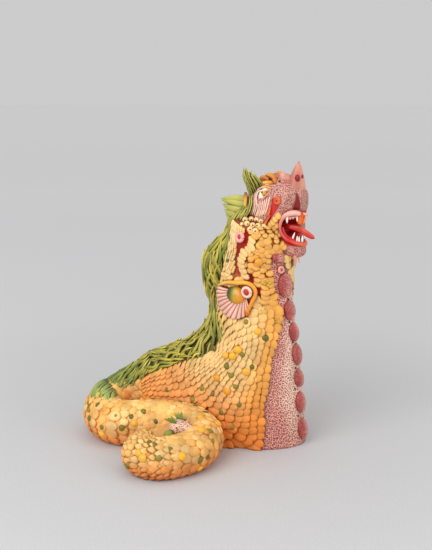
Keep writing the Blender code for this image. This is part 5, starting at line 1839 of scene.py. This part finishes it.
def make_small_head():
    """Muzzle, mouth, ears, eyes and crown of the tail's own head."""
    flesh, trim, leaves = Clay(), Clay(), Clay()
    long = float(np.linalg.norm(SMALL_NOSE - SMALL_ROOT))
    a = np.arange(32) / 32 * tau
    rings = [small((-0.006, 0, 0))]
    for share, wide, tall in ((-0.1, 0.012, 0.011), (0.15, 0.0165, 0.0145), (0.42, 0.0155, 0.0135),
                              (0.7, 0.0115, 0.01),
                              (0.9, 0.0075, 0.007), (1.0, 0.0035, 0.0035)):
        x, z = wide * np.cos(a), tall * np.sin(a)
        rings.append(small(np.stack((np.full(32, share * long), x, z), axis=1)))
    rings.append(small((1.03 * long, 0, 0)))
    points, faces = loft(rings)
    flesh.add(points, faces, tone(248, 214, 200))
    skull = flesh.piece("small_head", paint_muzzle, subdivide=1)
    put_attribute(skull.data, "blush", np.full(len(skull.data.vertices), 0.16))
    for side in (1, -1):
        lip = curve_through(((0.7 * long, 0.0115 * side, -0.003), (0.88 * long, 0.0085 * side, -0.003),
                             (1.02 * long, 0, -0.0025)), 12)
        lay(trim, small(lip), 0.0021 * ROUND_ENDS, tone(226, 84, 58), 8)
        for k in range(3):
            root = np.array((0.3 * long - 0.003 * k, 0.009 * side, 0.01))
            petal(leaves, small(root), small(root + (-0.004 - 0.005 * k, 0.006 * side, 0.015 - 0.003 * k)),
                  SMALL_AHEAD, 0.0036, 0.0018, tones((104, 130, 50), (150, 168, 70)), 0.001)
        trim.add(*ball(small((0.46 * long, 0.0135 * side, 0.0045)), (0.0034,) * 3, SMALL_AXES), tone(246, 226, 180))
        trim.add(*ball(small((0.48 * long, 0.0163 * side, 0.005)), (0.0016,) * 3, SMALL_AXES, 10, 6),
                 tone(60, 40, 12))
        trim.add(*ball(small((0.86 * long, 0.005 * side, 0.0058)), (0.0014, 0.001, 0.0012), SMALL_AXES, 8, 5),
                 tone(130, 20, 34))
    for k in range(9):
        spot = small(rng.normal(0, 1, 3) * (0.006, 0.007, 0.001) + (-0.004, 0, 0.0125))
        trim.add(*ball(spot, (0.0042, 0.0042, 0.0032), SMALL_AXES), tone(248, 216, 150))
    leaves.add(*ball(small((0.006, 0.0235, -0.0065)), (0.0082, 0.0082, 0.0082), SMALL_AXES, 18, 12),
               tone(136, 156, 62))
    keep(skull)
    keep(trim.piece("small_trim", paint_lids))
    keep(leaves.piece("small_leaves", paint_leaf))


make_small_head()

# %% [markdown]
# ## A floor, soft light and a camera
# The beast stands on a wide sheet of pale paper. A wall behind it would hide
# the beast's back, so there is none: the paper runs on all round, paler the
# farther out it lies, until it meets the even light of the room. A broad lamp
# from the upper left does most of the work and a weak one from the right
# opens the shadows. The camera looks a little down on the coil.

# %% The paper floor
def make_floor():
    """A round sheet in rings, paler far out where little lamplight falls, and darker right under the lamps."""
    radii = np.geomspace(0.25, 60, 26)
    grey = np.interp(radii, (0.35, 0.7, 1.0, 2.0, 4.0, 12.0), FLOOR_GREYS)
    turns = np.arange(48) / 48 * tau
    rings = [np.stack((r * np.cos(turns), r * np.sin(turns), 0 * turns), axis=1) for r in radii]
    points, faces = loft([np.zeros(3)] + rings)
    mesh = new_mesh("floor", points, faces[:-1])
    shade = np.concatenate((grey[:1], np.repeat(grey, len(turns))))
    glare = np.exp(-((points[:, 0] + 0.3) ** 2 + (points[:, 1] + 1.4) ** 2) / 1.6) * ease(-points[:, 1], 0.5, 1.1)
    put_attribute(mesh, "tint", np.outer(shade * (1 - 0.45 * glare), (1.0, 1.0, 1.015)))
    mesh.materials.append(painted("paper", roughness=0.85, mottle=0.0, grain=0.0, deep=0.0, glaze=None))
    return put("floor", mesh)


FLOOR_GREYS = (0.578, 0.62, 0.68, 0.8, 0.94, 0.99)
paper_floor = make_floor()


# %% Lamps and camera
def lamp(name, place, target, size, power):
    """A square area lamp that shines at a target."""
    light = bpy.data.lights.new(name, "AREA")
    light.energy, light.size = power, size
    obj = put(name, light)
    obj.location = place
    obj.rotation_euler = (Vector(target) - Vector(place)).to_track_quat("-Z", "Y").to_euler()
    obj.visible_camera = False


lamp("key", (-1.4, -1.7, 1.6), (0, 0, 0.2), 2.0, 42)
lamp("top", (0.1, 0.2, 2.2), (0, 0, 0.2), 1.5, 5)
lamp("fill", (1.7, -1.3, 1.2), (0, 0, 0.25), 1.8, 14)
world = bpy.data.worlds.new("room")
bpy.context.scene.world = world
world.use_nodes = True
world.node_tree.nodes["Background"].inputs["Color"].default_value = (1, 1, 1, 1)
world.node_tree.nodes["Background"].inputs["Strength"].default_value = 0.6

camera = put("camera", bpy.data.cameras.new("camera"))
camera.data.sensor_fit, camera.data.sensor_height, camera.data.lens = "VERTICAL", 36, 55
camera.location = (0.0397, -1.4774, 0.6363)
camera.rotation_euler = (radians(78), 0, 0)
bpy.context.scene.camera = camera
bpy.context.scene.view_settings.view_transform = "Standard"

# %% [markdown]
# ## The pieces on the frame
# Every piece rides on the solid frame's one part. The smooth body takes the
# place of the plain solid, which is hidden.

# %% Ride on the frame and hide the plain solid
for piece in PIECES:
    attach(piece, "root")
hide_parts("beast")
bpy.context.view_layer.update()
print("pieces", len(PIECES), "triangles", sum(triangles(p) for p in PIECES))
